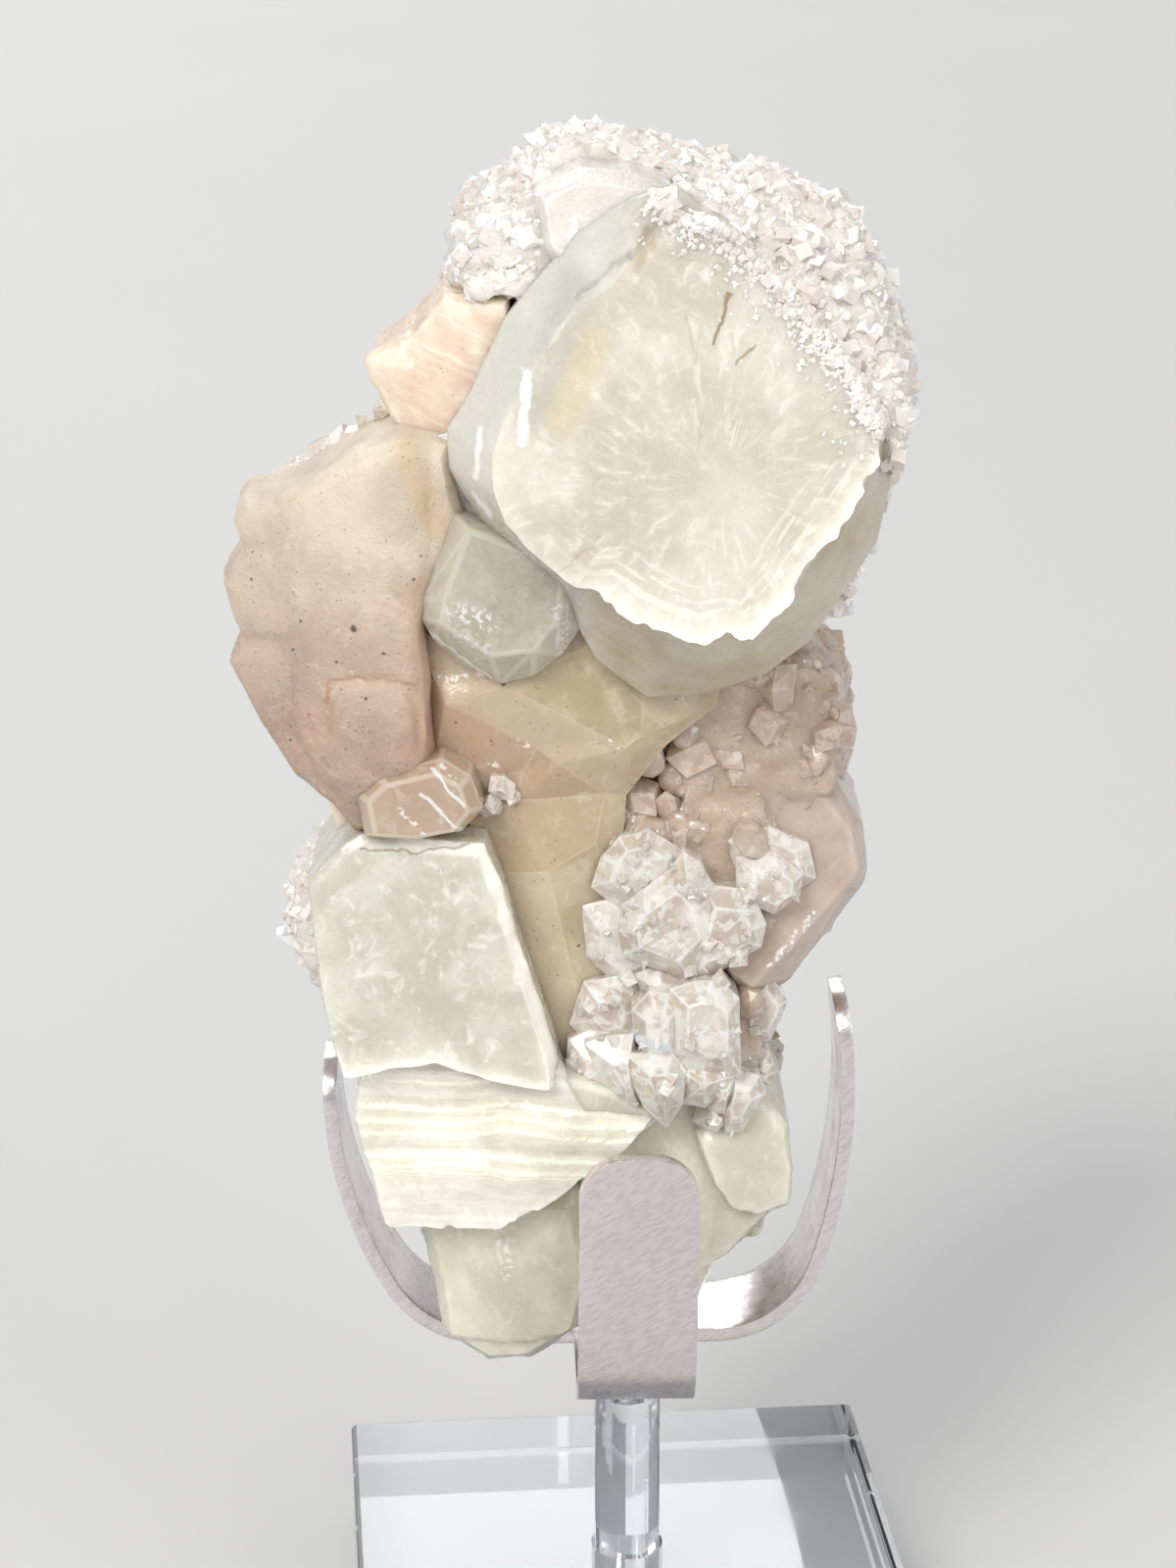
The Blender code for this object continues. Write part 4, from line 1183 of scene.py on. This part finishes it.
CROWN = [(-15.3, 131.6), (-13.9, 135.1), (-10, 137.6), (-6.8, 140.6), (-3.6, 141.2), (0.4, 139.8), (3.6, 139.6),
    (7.6, 138.2), (10.4, 137.6), (13.7, 135.6), (16.5, 135.0), (19, 133.2), (20.7, 127.6), (22.8, 124.4),
    (23.8, 120), (22.6, 112), (20.4, 107), (18.2, 101.5), (8, 96), (-8, 100), (-14, 116)]
COLLAR = [(3.0, 138.0), (9.8, 135.6), (15.2, 132.6), (18.2, 129.5), (20.4, 125.0), (22.0, 119.5), (21.0, 114.5),
    (12, 118), (4, 128)]
KNOB = [(-14.6, 133.5), (-11.5, 135.9), (-6, 136.5), (-4, 132), (-8, 127.6), (-13, 127.4), (-15, 129.4)]
RIGHT_DRUSE = [(1, 97), (11, 98.5), (15, 100), (17.5, 98), (19, 95.5), (18.7, 91), (17.5, 85.5), (14, 82), (2, 82)]
CENTRE = [(-13, 88), (0, 88), (9, 84), (10, 62), (0, 60), (-7, 60), (-11, 78)]
RIGHT_BLOCK = [(8.5, 71), (11.2, 71.6), (12.8, 70), (12.3, 66), (11.5, 62), (8.5, 62)]
UNDER_CLUSTERS = [(-4, 72), (-3, 84), (3, 86), (12, 85), (13, 78), (11.5, 70), (11.5, 60), (1, 58.5), (-4, 62)]
BETWEEN = [(-19, 118), (-10, 118), (-5, 106), (-10, 103), (-17, 106)]
LEFT_ROUGH = [(-30, 74.5), (-28.8, 77.3), (-26.5, 79.6), (-22, 83.6), (-22, 66), (-26, 67.3), (-28.3, 70.5)]
RIGHT_FOOT = [(3, 58), (11.5, 58), (13.0, 54.5), (13.6, 50.5), (12.4, 47.6), (9.7, 45.3), (5.5, 43.5), (-1, 43),
    (-3, 52)]
BACK_TOWER = [(-14, 118), (-2, 124), (9, 118), (12, 104), (7, 90), (-9, 88), (-17, 100)]
BACK_TABLE = [(-13, 86), (7, 90), (12, 76), (8, 60), (-6, 56), (-17, 66)]
LUMPS = [
    ((-5, 2, 98), (22, 15, 20), 12),
    ((-4, 1, 74), (17, 15, 18), 40),
    ((-5, -1, 56), (14, 13, 13), 75),
    ((-21, 4, 100), (11, 11, 12), 25),
    ((-18, 3, 74), (9, 11, 11), 60),
    ((11, 4, 90), (9, 11, 12), 5),
    ((11, 0, 77), (9, 11, 10), 33),
    ((7, 3, 56), (8, 9, 10), 50),
    ((-11, 13, 108), (11, 8, 10), 70),
    ((9, 13, 96), (10, 8, 11), 20),
    ((-10, 13, 78), (11, 7, 10), 48),
    ((6, 11, 62), (9, 7, 9), 15),
    ((-4, 14, 126), (10, 6, 8), 55),
]


def lump(middle, radii, spin):
    """The corners of a rounded faceted mass, turned about the upright axis."""
    ball = bmesh.new()
    bmesh.ops.create_icosphere(ball, subdivisions=1, radius=1.0)
    turned = Matrix.Rotation(math.radians(spin), 3, "Z") @ Matrix.Rotation(math.radians(spin * 2), 3, "X")
    points = []
    for corner in ball.verts:
        x, y, z = turned @ corner.co
        points.append((middle[0] + x * radii[0], middle[1] + y * radii[1], middle[2] + z * radii[2]))
    ball.free()
    return points


# outline of each mass, and its sections as prism has them
MASSES = [
    (CROWN, (-8.0, 0.93, 0.2), (0.5, 1.01), (13.0, 0.8), (18.0, 0.45)),
    (COLLAR, (-17.2, 0.96, 0.17), (-10.0,), (0.0,)),
    (KNOB, (-13.4, 0.75, 0.2), (-9.0,), (2.0,)),
    (RIGHT_DRUSE, (-12.0, 0.78), (-6.0,), (7.0, 0.9)),
    (CENTRE, (-12.0, 0.85), (-8.0,), (6.0,)),
    (RIGHT_BLOCK, (-10.4, 0.8), (-8.0,), (4.0,)),
    (UNDER_CLUSTERS, (-13.4, 0.94), (-6.0,)),
    (BETWEEN, (-14.0,), (-4.0,)),
    (LEFT_ROUGH, (-11.6, 0.7), (-8.0,), (4.0, 0.9)),
    (RIGHT_FOOT, (-13.0, 0.8), (-10.0,), (6.0, 0.85)),
    (BACK_TOWER, (8.0,), (17.0, 0.9), (20.0, 0.6)),
    (BACK_TABLE, (4.0,), (15.0, 0.9), (17.5, 0.65)),
    (PEACH_FACE, (-9.0, 0.82), (4.0, 0.85)),
    (TABULAR, (-14.0, 0.85), (2.0, 0.92)),
    (STRIATED, (-14.0, 0.85), (2.0, 0.9)),
]


def brownness(points):
    """How far a place of the mass is in its brown middle: 0 at the white crown and foot, 1 inside."""
    low = np.clip((points[:, 2] - 60) / 6, 0, 1)
    high = np.clip((104 - points[:, 2]) / 8, 0, 1)
    inner = np.clip((points[:, 0] + 23) / 5 + np.clip((points[:, 2] - 86) / 4, 0, 1), 0, 1)
    return low * high * inner


def make_matrix():
    """One closed granular surface round all the masses."""
    masses = Joined()
    for corners in [prism(*mass) for mass in MASSES] + [lump(*mass) for mass in LUMPS]:
        points, faces, extra = arrays(hull([(x, y, max(z, FOOT)) for x, y, z in corners]))
        masses.add(points, faces, {})
    mass = add_object("matrix_masses", mesh_of("matrix_masses", masses.points(), masses.faces))
    remesh = mass.modifiers.new("Remesh", "REMESH")
    remesh.mode = "VOXEL"
    remesh.voxel_size = MATRIX_VOXEL
    solid = bpy.data.meshes.new_from_object(mass.evaluated_get(bpy.context.evaluated_depsgraph_get()))
    bpy.data.objects.remove(mass)
    points, faces = in_order(vectors_of(solid.vertices, "co"), [list(face.vertices) for face in solid.polygons])
    bpy.data.meshes.remove(solid)
    normals = normals_of(points, faces)
    tone = brownness(points)
    shift = 0.8 * rough(points, 7.0, 101) + 0.8 * (pebbles(points, 3.2, 103) - 0.6)
    shift += 0.35 * (1 - 0.6 * tone) * pebbles(points, 1.5, 105)
    points = points + normals * (shift - 0.3)[:, None]
    points[:, 2] = np.maximum(points[:, 2], FOOT)
    build("matrix", points, faces, MATRIX, 60.0, {"edge": np.zeros(len(points)), "tone": tone})
    triangles = [corners for a, b, c, d in faces for corners in ((a, b, c), (a, c, d))]
    return points, np.array(triangles)


def tree_of(piece):
    """A search tree of a placed piece, in the specimen's millimetres."""
    mesh = piece.data
    points = [Vector(p) for p in vectors_of(mesh.attributes["mm"].data, "vector")]
    return BVHTree.FromPolygons(points, [tuple(face.vertices) for face in mesh.polygons])


def inside(tree, place, reach):
    """Whether a place is inside a closed piece by more than reach."""
    spot, normal, index, distance = tree.find_nearest(Vector(place))
    return spot is not None and distance > reach and (Vector(place) - spot).dot(normal) < 0


# region: material, smallest and largest size, share kept, kinds, tall, how deep they sink
DRUSES = {
    "crown": (SUGAR, 0.5, 1.7, 1.0, FINE * 4 + NUBS[:1], (0.6, 1.1), 0.35),
    "crown_back": (SUGAR, 0.7, 2.2, 0.8, FINE * 4 + NUBS[:1], (0.6, 1.1), 0.35),
    "pink": (PINK_DRUSE, 1.0, 4.2, 0.4, HEXAGONS + NUBS * 2, (0.5, 0.8), 0.55),
    "white": (SUGAR, 0.6, 1.8, 0.6, FINE + RHOMBS, (0.6, 1.0), 0.3),
    "foot": (GREENISH, 0.9, 4.2, 0.25, NUBS, (0.4, 0.7), 0.5),
    "pink_back": (PINK_DRUSE, 1.2, 4.2, 0.3, HEXAGONS + NUBS * 2, (0.5, 0.8), 0.55),
}


def region_of(place):
    """Which druse grew at a place."""
    x, y, z = place
    if z > 100 + 0.5 * max(y, 0):
        return "crown" if y < 2 else "crown_back"
    if z < 60:
        return "foot"
    if x < -19 and z < 86:
        return "white"
    return "pink" if y < 4 else "pink_back"


def make_druse(points, triangles, big_pieces, shapes):
    """The small crystals all over the mass, by region, and the crystals that spread onto the plate's edge."""
    trees = [tree_of(piece) for piece in big_pieces]
    places, directions = surface_spots(points, triangles, DRUSE_SPOTS, 201)
    chance = np.random.default_rng(202)
    spots = {region: [] for region in DRUSES}
    for place, direction in zip(places, directions):
        region = region_of(place)
        material, smallest, largest, share, kinds, tall, sink = DRUSES[region]
        size = smallest * (largest / smallest) ** (chance.uniform() ** 1.6)
        if chance.uniform() > share or any(inside(tree, place, size * 0.3) for tree in trees):
            continue
        spots[region].append((place, direction, size))
    plate = tree_of(bpy.data.objects["plate_crystal"])
    edge = [np.array(corner) for corner in ((1.6, 137.2), (7.5, 134.8), (12.0, 130.4), (16.6, 125.4), (20.0, 119.6))]
    for _ in range(LIP_SPOTS):
        part = int(chance.integers(len(edge) - 1))
        along = edge[part] + (edge[part + 1] - edge[part]) * chance.uniform()
        reach = chance.exponential(0.8)
        x = along[0] - reach * 0.72
        z = along[1] - reach * 0.72
        spot, normal = plate.ray_cast(Vector((x, IN_FRONT, z)), Vector((0, 1, 0)))[:2]
        if spot is not None:
            spots["crown"].append((np.array(spot), np.array(normal), 0.35 + chance.uniform() * 0.8 / (1 + reach)))
    for number, (region, (material, smallest, largest, share, kinds, tall, sink)) in enumerate(DRUSES.items()):
        scatter(f"{region}_druse", material, spots[region], shapes, 211 + number, kinds, tall=tall, tip=0.4,
                sink=sink)


# Crystals seen end on: outline (x, z), depth of the shoulder, rise of the end, share that is flat, shift of the end
SPARKLING = [
    ([(3.4, 71.4), (5.3, 72.0), (7.3, 72.0), (8.7, 70.6), (8.9, 64.4), (8.0, 64.0), (5.8, 64.2), (3.4, 65.9),
      (3.2, 69.3)], -17.0, 1.6, 0.55, (0.3, 0.5)),
    ([(0.2, 69.8), (1.6, 71.4), (3.0, 71.0), (3.6, 69.8), (3.5, 65.9), (1.6, 65.7), (0.5, 67.2)],
     -17.2, 1.4, 0.5, (0.2, 0.2)),
    ([(-0.2, 65.9), (3.4, 65.9), (4.4, 64.4), (4.2, 61.7), (2.9, 59.7), (1.1, 61.4), (-0.2, 64.4)],
     -17.6, 1.8, 0.35, (0.2, 0.6)),
    ([(-3.7, 66.4), (-2.1, 67.0), (0.1, 67.2), (-0.2, 64.4), (0.7, 60.8), (-0.3, 60.3), (-1.7, 61.7), (-2.3, 64.4)],
     -16.6, 1.6, 0.3, (0.5, 0.4)),
    ([(-5.1, 66.1), (-3.3, 66.9), (-2.1, 66.1), (-1.8, 63.6), (-0.9, 60.5), (-0.3, 58.9), (-3.6, 59.5), (-5.2, 62.2)],
     -15.2, 1.4, 0.45, (0.3, 0.3)),
    ([(3.8, 64.4), (6.2, 64.6), (8.6, 63.8), (6.2, 61.0), (4.3, 61.4)], -16.8, 1.8, 0.15, (0.2, 0.6)),
    ([(5.8, 64.0), (8.9, 64.0), (8.6, 62.0), (7.9, 60.0), (6.7, 60.4)], -15.9, 1.6, 0.2, (0.3, 0.3)),
    ([(8.6, 63.6), (10.7, 63.1), (11.2, 61.6), (9.5, 58.4), (8.1, 58.2), (7.7, 60.2), (8.4, 62.0)],
     -15.4, 1.6, 0.45, (-0.1, 0.3)),
    ([(9.5, 64.6), (11.8, 63.8), (12.3, 62.1), (11.8, 61.0), (9.7, 61.2)], -11.9, 1.0, 0.5, (0, 0)),
    ([(9.5, 70.0), (11.5, 71.0), (13.1, 68.6), (12.7, 67.2), (11.8, 65.2), (10.1, 65.4), (9.2, 67.3)],
     -12.0, 1.2, 0.6, (0, 0.2)),
    ([(6.3, 61.6), (7.8, 60.7), (8.6, 58.9), (7.0, 57.5), (5.4, 58.8)], -14.6, 1.6, 0.1, (0, 0.2)),
    ([(0.3, 71.9), (2.3, 72.8), (4.8, 72.0), (3.8, 69.7), (1.4, 69.9)], -14.6, 1.4, 0.3, (0, 0)),
    ([(-3.8, 71.0), (-0.3, 71.7), (1.1, 68.8), (0.3, 65.6), (-2.8, 65.6), (-4.9, 67.5)], -14.4, 1.4, 0.4, (0, 0.4)),
]
UPPER = [
    ([(-0.4, 78.5), (1.0, 79.5), (2.5, 79.8), (4.3, 82.2), (5.3, 81.8), (6.9, 79.5), (7.8, 75.6), (4.9, 72.2),
      (-0.4, 74.3), (-0.8, 76.4)], -15.4, 1.8, 0.55, (-0.3, -0.4)),
    ([(6.0, 79.8), (9.8, 79.4), (10.9, 76.7), (10.6, 74.8), (7.4, 72.8), (5.0, 72.0), (5.2, 76.3)],
     -15.2, 1.4, 0.55, (0.2, 0.3)),
    ([(2.3, 80.2), (4.3, 83.0), (5.6, 82.2), (6.8, 79.9), (5.4, 77.6), (3.5, 78.2)], -15.8, 1.8, 0.15, (0, 0.6)),
    ([(-2.3, 82.0), (-0.9, 83.6), (1.4, 84.2), (4.0, 82.5), (4.0, 80.5), (2.6, 78.8), (-0.3, 77.3), (-3.0, 79.6)],
     -13.8, 1.3, 0.6, (0, 0.3)),
    ([(-3.8, 77.4), (-1.0, 78.1), (0.1, 73.3), (2.4, 72.0), (-0.3, 70.2), (-3.7, 73.3)], -13.6, 1.0, 0.5, (0, 0)),
    ([(8.9, 82.2), (11.8, 82.6), (13.9, 80.8), (13.8, 79.1), (11.8, 77.6), (8.9, 78.9)], -14.6, 1.4, 0.6, (0.2, 0.1)),
    ([(8.0, 83.3), (11.5, 84.2), (14.5, 82.9), (15.1, 80.1), (12.8, 78.6), (9.1, 80.0)], -13.0, 1.0, 0.6, (0, 0.2)),
]
RIGHT = [
    ((10.9, -11.3, 96.2), (0.1, -1, 0.1), 4.0), ((0.9, -12.6, 86.9), (0, -1, 0.3), 3.4),
    ((6.2, -11.6, 88.4), (0.1, -1, 0.1), 3.4), ((8.2, -11.4, 91.0), (0.1, -1, 0.3), 4.2),
    ((15.4, -8.4, 90.9), (0.5, -0.8, 0.1), 5.2), ((17.0, -6.4, 92.9), (0.7, -0.6, 0.3), 4.4),
    ((12.6, -9.6, 87.8), (0.3, -0.9, 0), 5.2), ((9.3, -10.9, 85.9), (0.1, -1, -0.1), 4.6),
    ((4.6, -12.0, 85.0), (0, -1, 0), 4.0), ((3.7, -12.0, 88.4), (0, -1, 0.2), 3.0),
    ((16.4, -7.4, 87.1), (0.7, -0.7, -0.1), 5.2), ((13.7, -8.6, 96.9), (0.4, -0.8, 0.4), 4.4),
    ((7.7, -11.4, 94.4), (0, -1, 0.2), 3.6), ((4.6, -12.4, 92.0), (0, -1, 0.1), 3.0),
    ((1.6, -12.6, 89.6), (0, -1, 0), 2.8), ((-2.2, -13.0, 74.4), (-0.2, -0.9, 0.2), 2.6),
    ((-0.3, -13, 71.4), (-0.2, -0.9, 0.2), 2.0), ((-2.4, -13.2, 72.0), (-0.2, -0.9, 0.1), 2.0),
    ((-1.6, -13.0, 80.6), (-0.2, -0.9, 0.2), 2.2), ((3.0, -12.6, 86.0), (-0.2, -0.9, 0.2), 2.6),
    ((12.0, -9.8, 92.0), (0.3, -0.9, 0.2), 4.6), ((10.6, -10.4, 89.4), (0.2, -0.9, 0), 3.6),
]
GLINTING = [
    ((-10.7, -14.0, 88.4), (-0.1, -1, 0.1), 2.6), ((-11.7, -14.0, 86.4), (-0.3, -0.9, -0.2), 2.0),
    ((-9.6, -13.8, 87.4), (0.3, -0.9, 0), 1.8),
    ((-19.0, -5.0, 118.8), (-0.2, -0.7, 0.7), 2.0), ((-20.6, -5.5, 118.0), (-0.2, -0.7, 0.7), 2.0),
    ((-21.9, -5.5, 117.0), (-0.4, -0.7, 0.6), 1.6), ((-18.0, -7.0, 119.2), (0.2, -0.9, 0.4), 1.6),
    ((22.0, -4.5, 120.4), (0.8, -0.6, 0.3), 2.6), ((22.2, -4.0, 118.6), (0.9, -0.5, -0.2), 2.2),
    ((21.3, -6.5, 119.0), (0.6, -0.8, 0), 2.2), ((-17.6, -10.5, 48.6), (-0.6, -0.7, 0.1), 2.6),
    ((-16.2, -12.4, 49.2), (-0.2, -0.9, 0.1), 2.4), ((-17.0, -11.5, 46.6), (-0.6, -0.8, -0.1), 2.0),
]


def make_clusters(shapes):
    """The clear crystals that stand out of the front, with small ones grown over them."""
    blocky = HEXAGONS + RHOMBS[:1]
    lumps = [cluster("sparkling_cluster", CLEAR, SPARKLING, -9.0, 321),
             cluster("upper_cluster", CLEAR, UPPER, -8.0, 322)]
    chance = np.random.default_rng(323)
    for lump_piece in lumps:
        tree = tree_of(lump_piece)
        low = [min(corner[axis] for corner in lump_piece.bound_box) / MM for axis in (0, 2)]
        high = [max(corner[axis] for corner in lump_piece.bound_box) / MM for axis in (0, 2)]
        for _ in range(70):
            start = Vector((chance.uniform(low[0], high[0]), IN_FRONT, chance.uniform(low[1], high[1])))
            spot, normal = tree.ray_cast(start, Vector((0, 1, 0)))[:2]
            if spot is not None and normal.y < -0.5:
                GLINTING.append((tuple(spot), tuple(normal), 0.6 + 1.2 * chance.uniform() ** 2))
    scatter("right_cluster", PINK_DRUSE, RIGHT, shapes, 324, HEXAGONS + NUBS * 2, tall=(0.5, 0.8), tip=0.2, sink=0.62)
    scatter("glinting_crystals", CLEAR, GLINTING, shapes, 325, blocky + POINTED, tall=(0.7, 1.0), tip=0.25, sink=0.3)


# The stand


def dress_stand():
    """The rod, the base and the screw keep their CAD shape."""
    nodes = frame["nodes"]
    for name, material in (("base", clear_acrylic("base_clear")), ("rod", clear_acrylic("rod_clear")),
                           ("claw_screw", nickel("screw_plated", srgb(205, 203, 200)))):
        nodes[name].data.materials.clear()
        nodes[name].data.materials.append(material)


CLAW_TURN = math.radians(-3.5)
CLAW_THICKNESS = 1.2
CLAW_WIDTH = 10.0
CLAW_TIP_RADIUS = 4.0
CLAW_ARM_LENGTH = 45.0
CLAW_MIDDLE = 33.6
# heading, length lying flat, radius of the tight bend, its angle, and the angle at the tip
CLAW_ARMS = [(0, 7.5, 9.5, 72, 100), (90, 10.5, 9.0, 75, 92), (180, 12.5, 10.0, 60, 93), (270, 13.5, 8.0, 70, 88)]


def arm_point(arm, length):
    """How far out and how high an arm's middle is, at a length along it from the axis."""
    flat, radius, bend_to, tip_angle = arm[1:]
    if length <= flat:
        return length, 0.0
    first = math.radians(bend_to)
    turned = min((length - flat) / radius, first)
    out = flat + radius * math.sin(turned)
    up = radius * (1 - math.cos(turned))
    past = length - flat - radius * first
    if past > 0:
        last = math.radians(tip_angle)
        wide = (CLAW_ARM_LENGTH - flat - radius * first) / (last - first)
        angle = first + past / wide
        out += wide * (math.sin(angle) - math.sin(first))
        up += wide * (math.cos(first) - math.cos(angle))
    return out, up


def make_claw():
    """The sheet cross: a fine open surface with slightly nicked edges, then thickened and its edges rounded."""
    shape = bmesh.new()
    half = CLAW_WIDTH / 2
    tip = CLAW_ARM_LENGTH - CLAW_TIP_RADIUS
    across = 10
    centre = [[shape.verts.new((half * (2 * i / across - 1), half * (2 * j / across - 1), 0))
               for j in range(across + 1)] for i in range(across + 1)]
    for i in range(across):
        for j in range(across):
            shape.faces.new((centre[i][j], centre[i + 1][j], centre[i + 1][j + 1], centre[i][j + 1]))
    for number, arm in enumerate(CLAW_ARMS):
        heading = Matrix.Rotation(math.radians(arm[0]), 4, "Z")
        lengths = list(np.arange(half, tip, 0.8))
        lengths += [tip + CLAW_TIP_RADIUS * math.sin(math.radians(angle)) for angle in range(0, 91, 9)]
        before = None
        for length in lengths:
            into_tip = max(length - tip, 0)
            width = half - CLAW_TIP_RADIUS + math.sqrt(max(CLAW_TIP_RADIUS**2 - into_tip**2, 0))
            out, up = arm_point(arm, length)
            line = []
            for step in range(across + 1):
                side = 2 * step / across - 1
                place = np.array([[length * 1.0, side * 3.0, number * 31.0]])
                nick = 0.0
                if step in (0, across) and length > half + 1:
                    nick = 0.35 * max(noise(place, 0.9, 401)[0] - 0.35, 0)
                line.append(shape.verts.new(heading @ Vector((out, side * (width - nick), up))))
            if before:
                for step in range(across):
                    shape.faces.new((before[step], line[step], line[step + 1], before[step + 1]))
            before = line
    bmesh.ops.remove_doubles(shape, verts=shape.verts, dist=0.01)
    bmesh.ops.recalc_face_normals(shape, faces=shape.faces)
    raised = Matrix.Translation((0, 0, CLAW_MIDDLE)) @ Matrix.Rotation(CLAW_TURN, 4, "Z")
    bmesh.ops.transform(shape, matrix=Matrix.Diagonal((MM, MM, MM, 1)) @ raised, verts=shape.verts)
    mesh = bpy.data.meshes.new("claw_sheet")
    shape.to_mesh(mesh)
    shape.free()
    # the faint pink in this plated colour is a painted reflection of red surroundings
    mesh.materials.append(nickel("claw_plated", srgb(238, 230, 230)))
    claw = add_object("claw_sheet", mesh)
    sheet = claw.modifiers.new("Sheet", "SOLIDIFY")
    sheet.thickness = CLAW_THICKNESS * MM
    sheet.offset = 0.0
    sheet.use_even_offset = True
    edges = claw.modifiers.new("Edges", "BEVEL")
    edges.width = 0.22 * MM
    edges.segments = 2
    edges.limit_method = "ANGLE"
    edges.angle_limit = math.radians(50)
    mesh.shade_smooth()
    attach(claw, "root")
    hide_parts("claw")


# The room


def placed(x, y, z):
    """A place in the specimen's millimetres as a row vector in metres."""
    return SPECIMEN_TO_ROW @ Vector((x, y, z))


def light(name, kind, place, target, power, colour=(1, 1, 1), **settings):
    """A lamp that points from a place to a target."""
    made = bpy.data.lights.new(name, kind)
    made.energy = power
    made.color = colour
    for key, value in settings.items():
        setattr(made, key, value)
    lamp = add_object(name, made)
    lamp.location = placed(*place)
    aim(lamp, placed(*target))


def aim(thing, target):
    """Turns a lamp or camera to look at a place."""
    thing.rotation_euler = (target - thing.location).to_track_quat("-Z", "Y").to_euler()


def make_room():
    """A pale floor, soft lamps, and the camera at the photograph's angle."""
    made, tree, shader = new_material("floor_pale")
    place = node(tree, "ShaderNodeTexCoord").outputs["Object"]
    tone = mix(tree, fog(tree, place, 3.0, 2.0), srgb(206, 206, 205), srgb(212, 212, 211))
    tree.links.new(tone, shader.inputs["Base Color"])
    shader.inputs["Roughness"].default_value = 0.6
    shape = bmesh.new()
    bmesh.ops.create_grid(shape, x_segments=8, y_segments=8, size=12.0)
    mesh = bpy.data.meshes.new("floor")
    shape.to_mesh(mesh)
    shape.free()
    mesh.materials.append(made)
    floor = add_object("floor", mesh)
    floor.location.z = -0.0002
    world = bpy.data.worlds.new("studio")
    world.use_nodes = True
    world.node_tree.nodes["Background"].inputs["Color"].default_value = (0.97, 0.98, 1.0, 1)
    world.node_tree.nodes["Background"].inputs["Strength"].default_value = 0.55
    bpy.context.scene.world = world
    middle = (-4, 0, 90)
    light("key", "SUN", (-200, -330, 420), middle, 1.6, (1.0, 0.98, 0.95), angle=math.radians(22))
    light("fill", "SUN", (300, -300, 260), middle, 0.6, (1.0, 0.97, 0.94), angle=math.radians(30))
    light("rim", "SUN", (-90, 360, 330), middle, 0.7, angle=math.radians(30))
    for number, place in enumerate([(60, -340, 330), (-230, -250, 300), (200, -230, 400)]):
        light(f"glint_{number + 1}", "AREA", place, middle, 0.07, shape="RECTANGLE", size=0.03, size_y=0.03)
    camera = bpy.data.cameras.new("camera")
    camera.lens = CAMERA_LENS
    camera.sensor_width = 36.0
    camera.sensor_fit = "AUTO"
    camera.clip_start = 0.01
    eye = add_object("camera", camera)
    back = CAMERA_DISTANCE * math.cos(CAMERA_PITCH)
    high = CAMERA_DISTANCE * math.sin(CAMERA_PITCH)
    eye.location = placed(CAMERA_TARGET[0], -back, CAMERA_TARGET[2] + high)
    aim(eye, placed(*CAMERA_TARGET))
    bpy.context.scene.camera = eye
    bpy.context.scene.view_settings.view_transform = "Standard"


make_plate()
make_peach()
make_peach_block()
make_middle()
make_lower()
big = [piece for piece in bpy.data.objects if piece.get("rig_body") and not piece.get("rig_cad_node")]
matrix_points, matrix_triangles = make_matrix()
small_shapes = templates(7)
make_druse(matrix_points, matrix_triangles, big, small_shapes)
make_clusters(small_shapes)
dress_stand()
make_claw()
make_room()
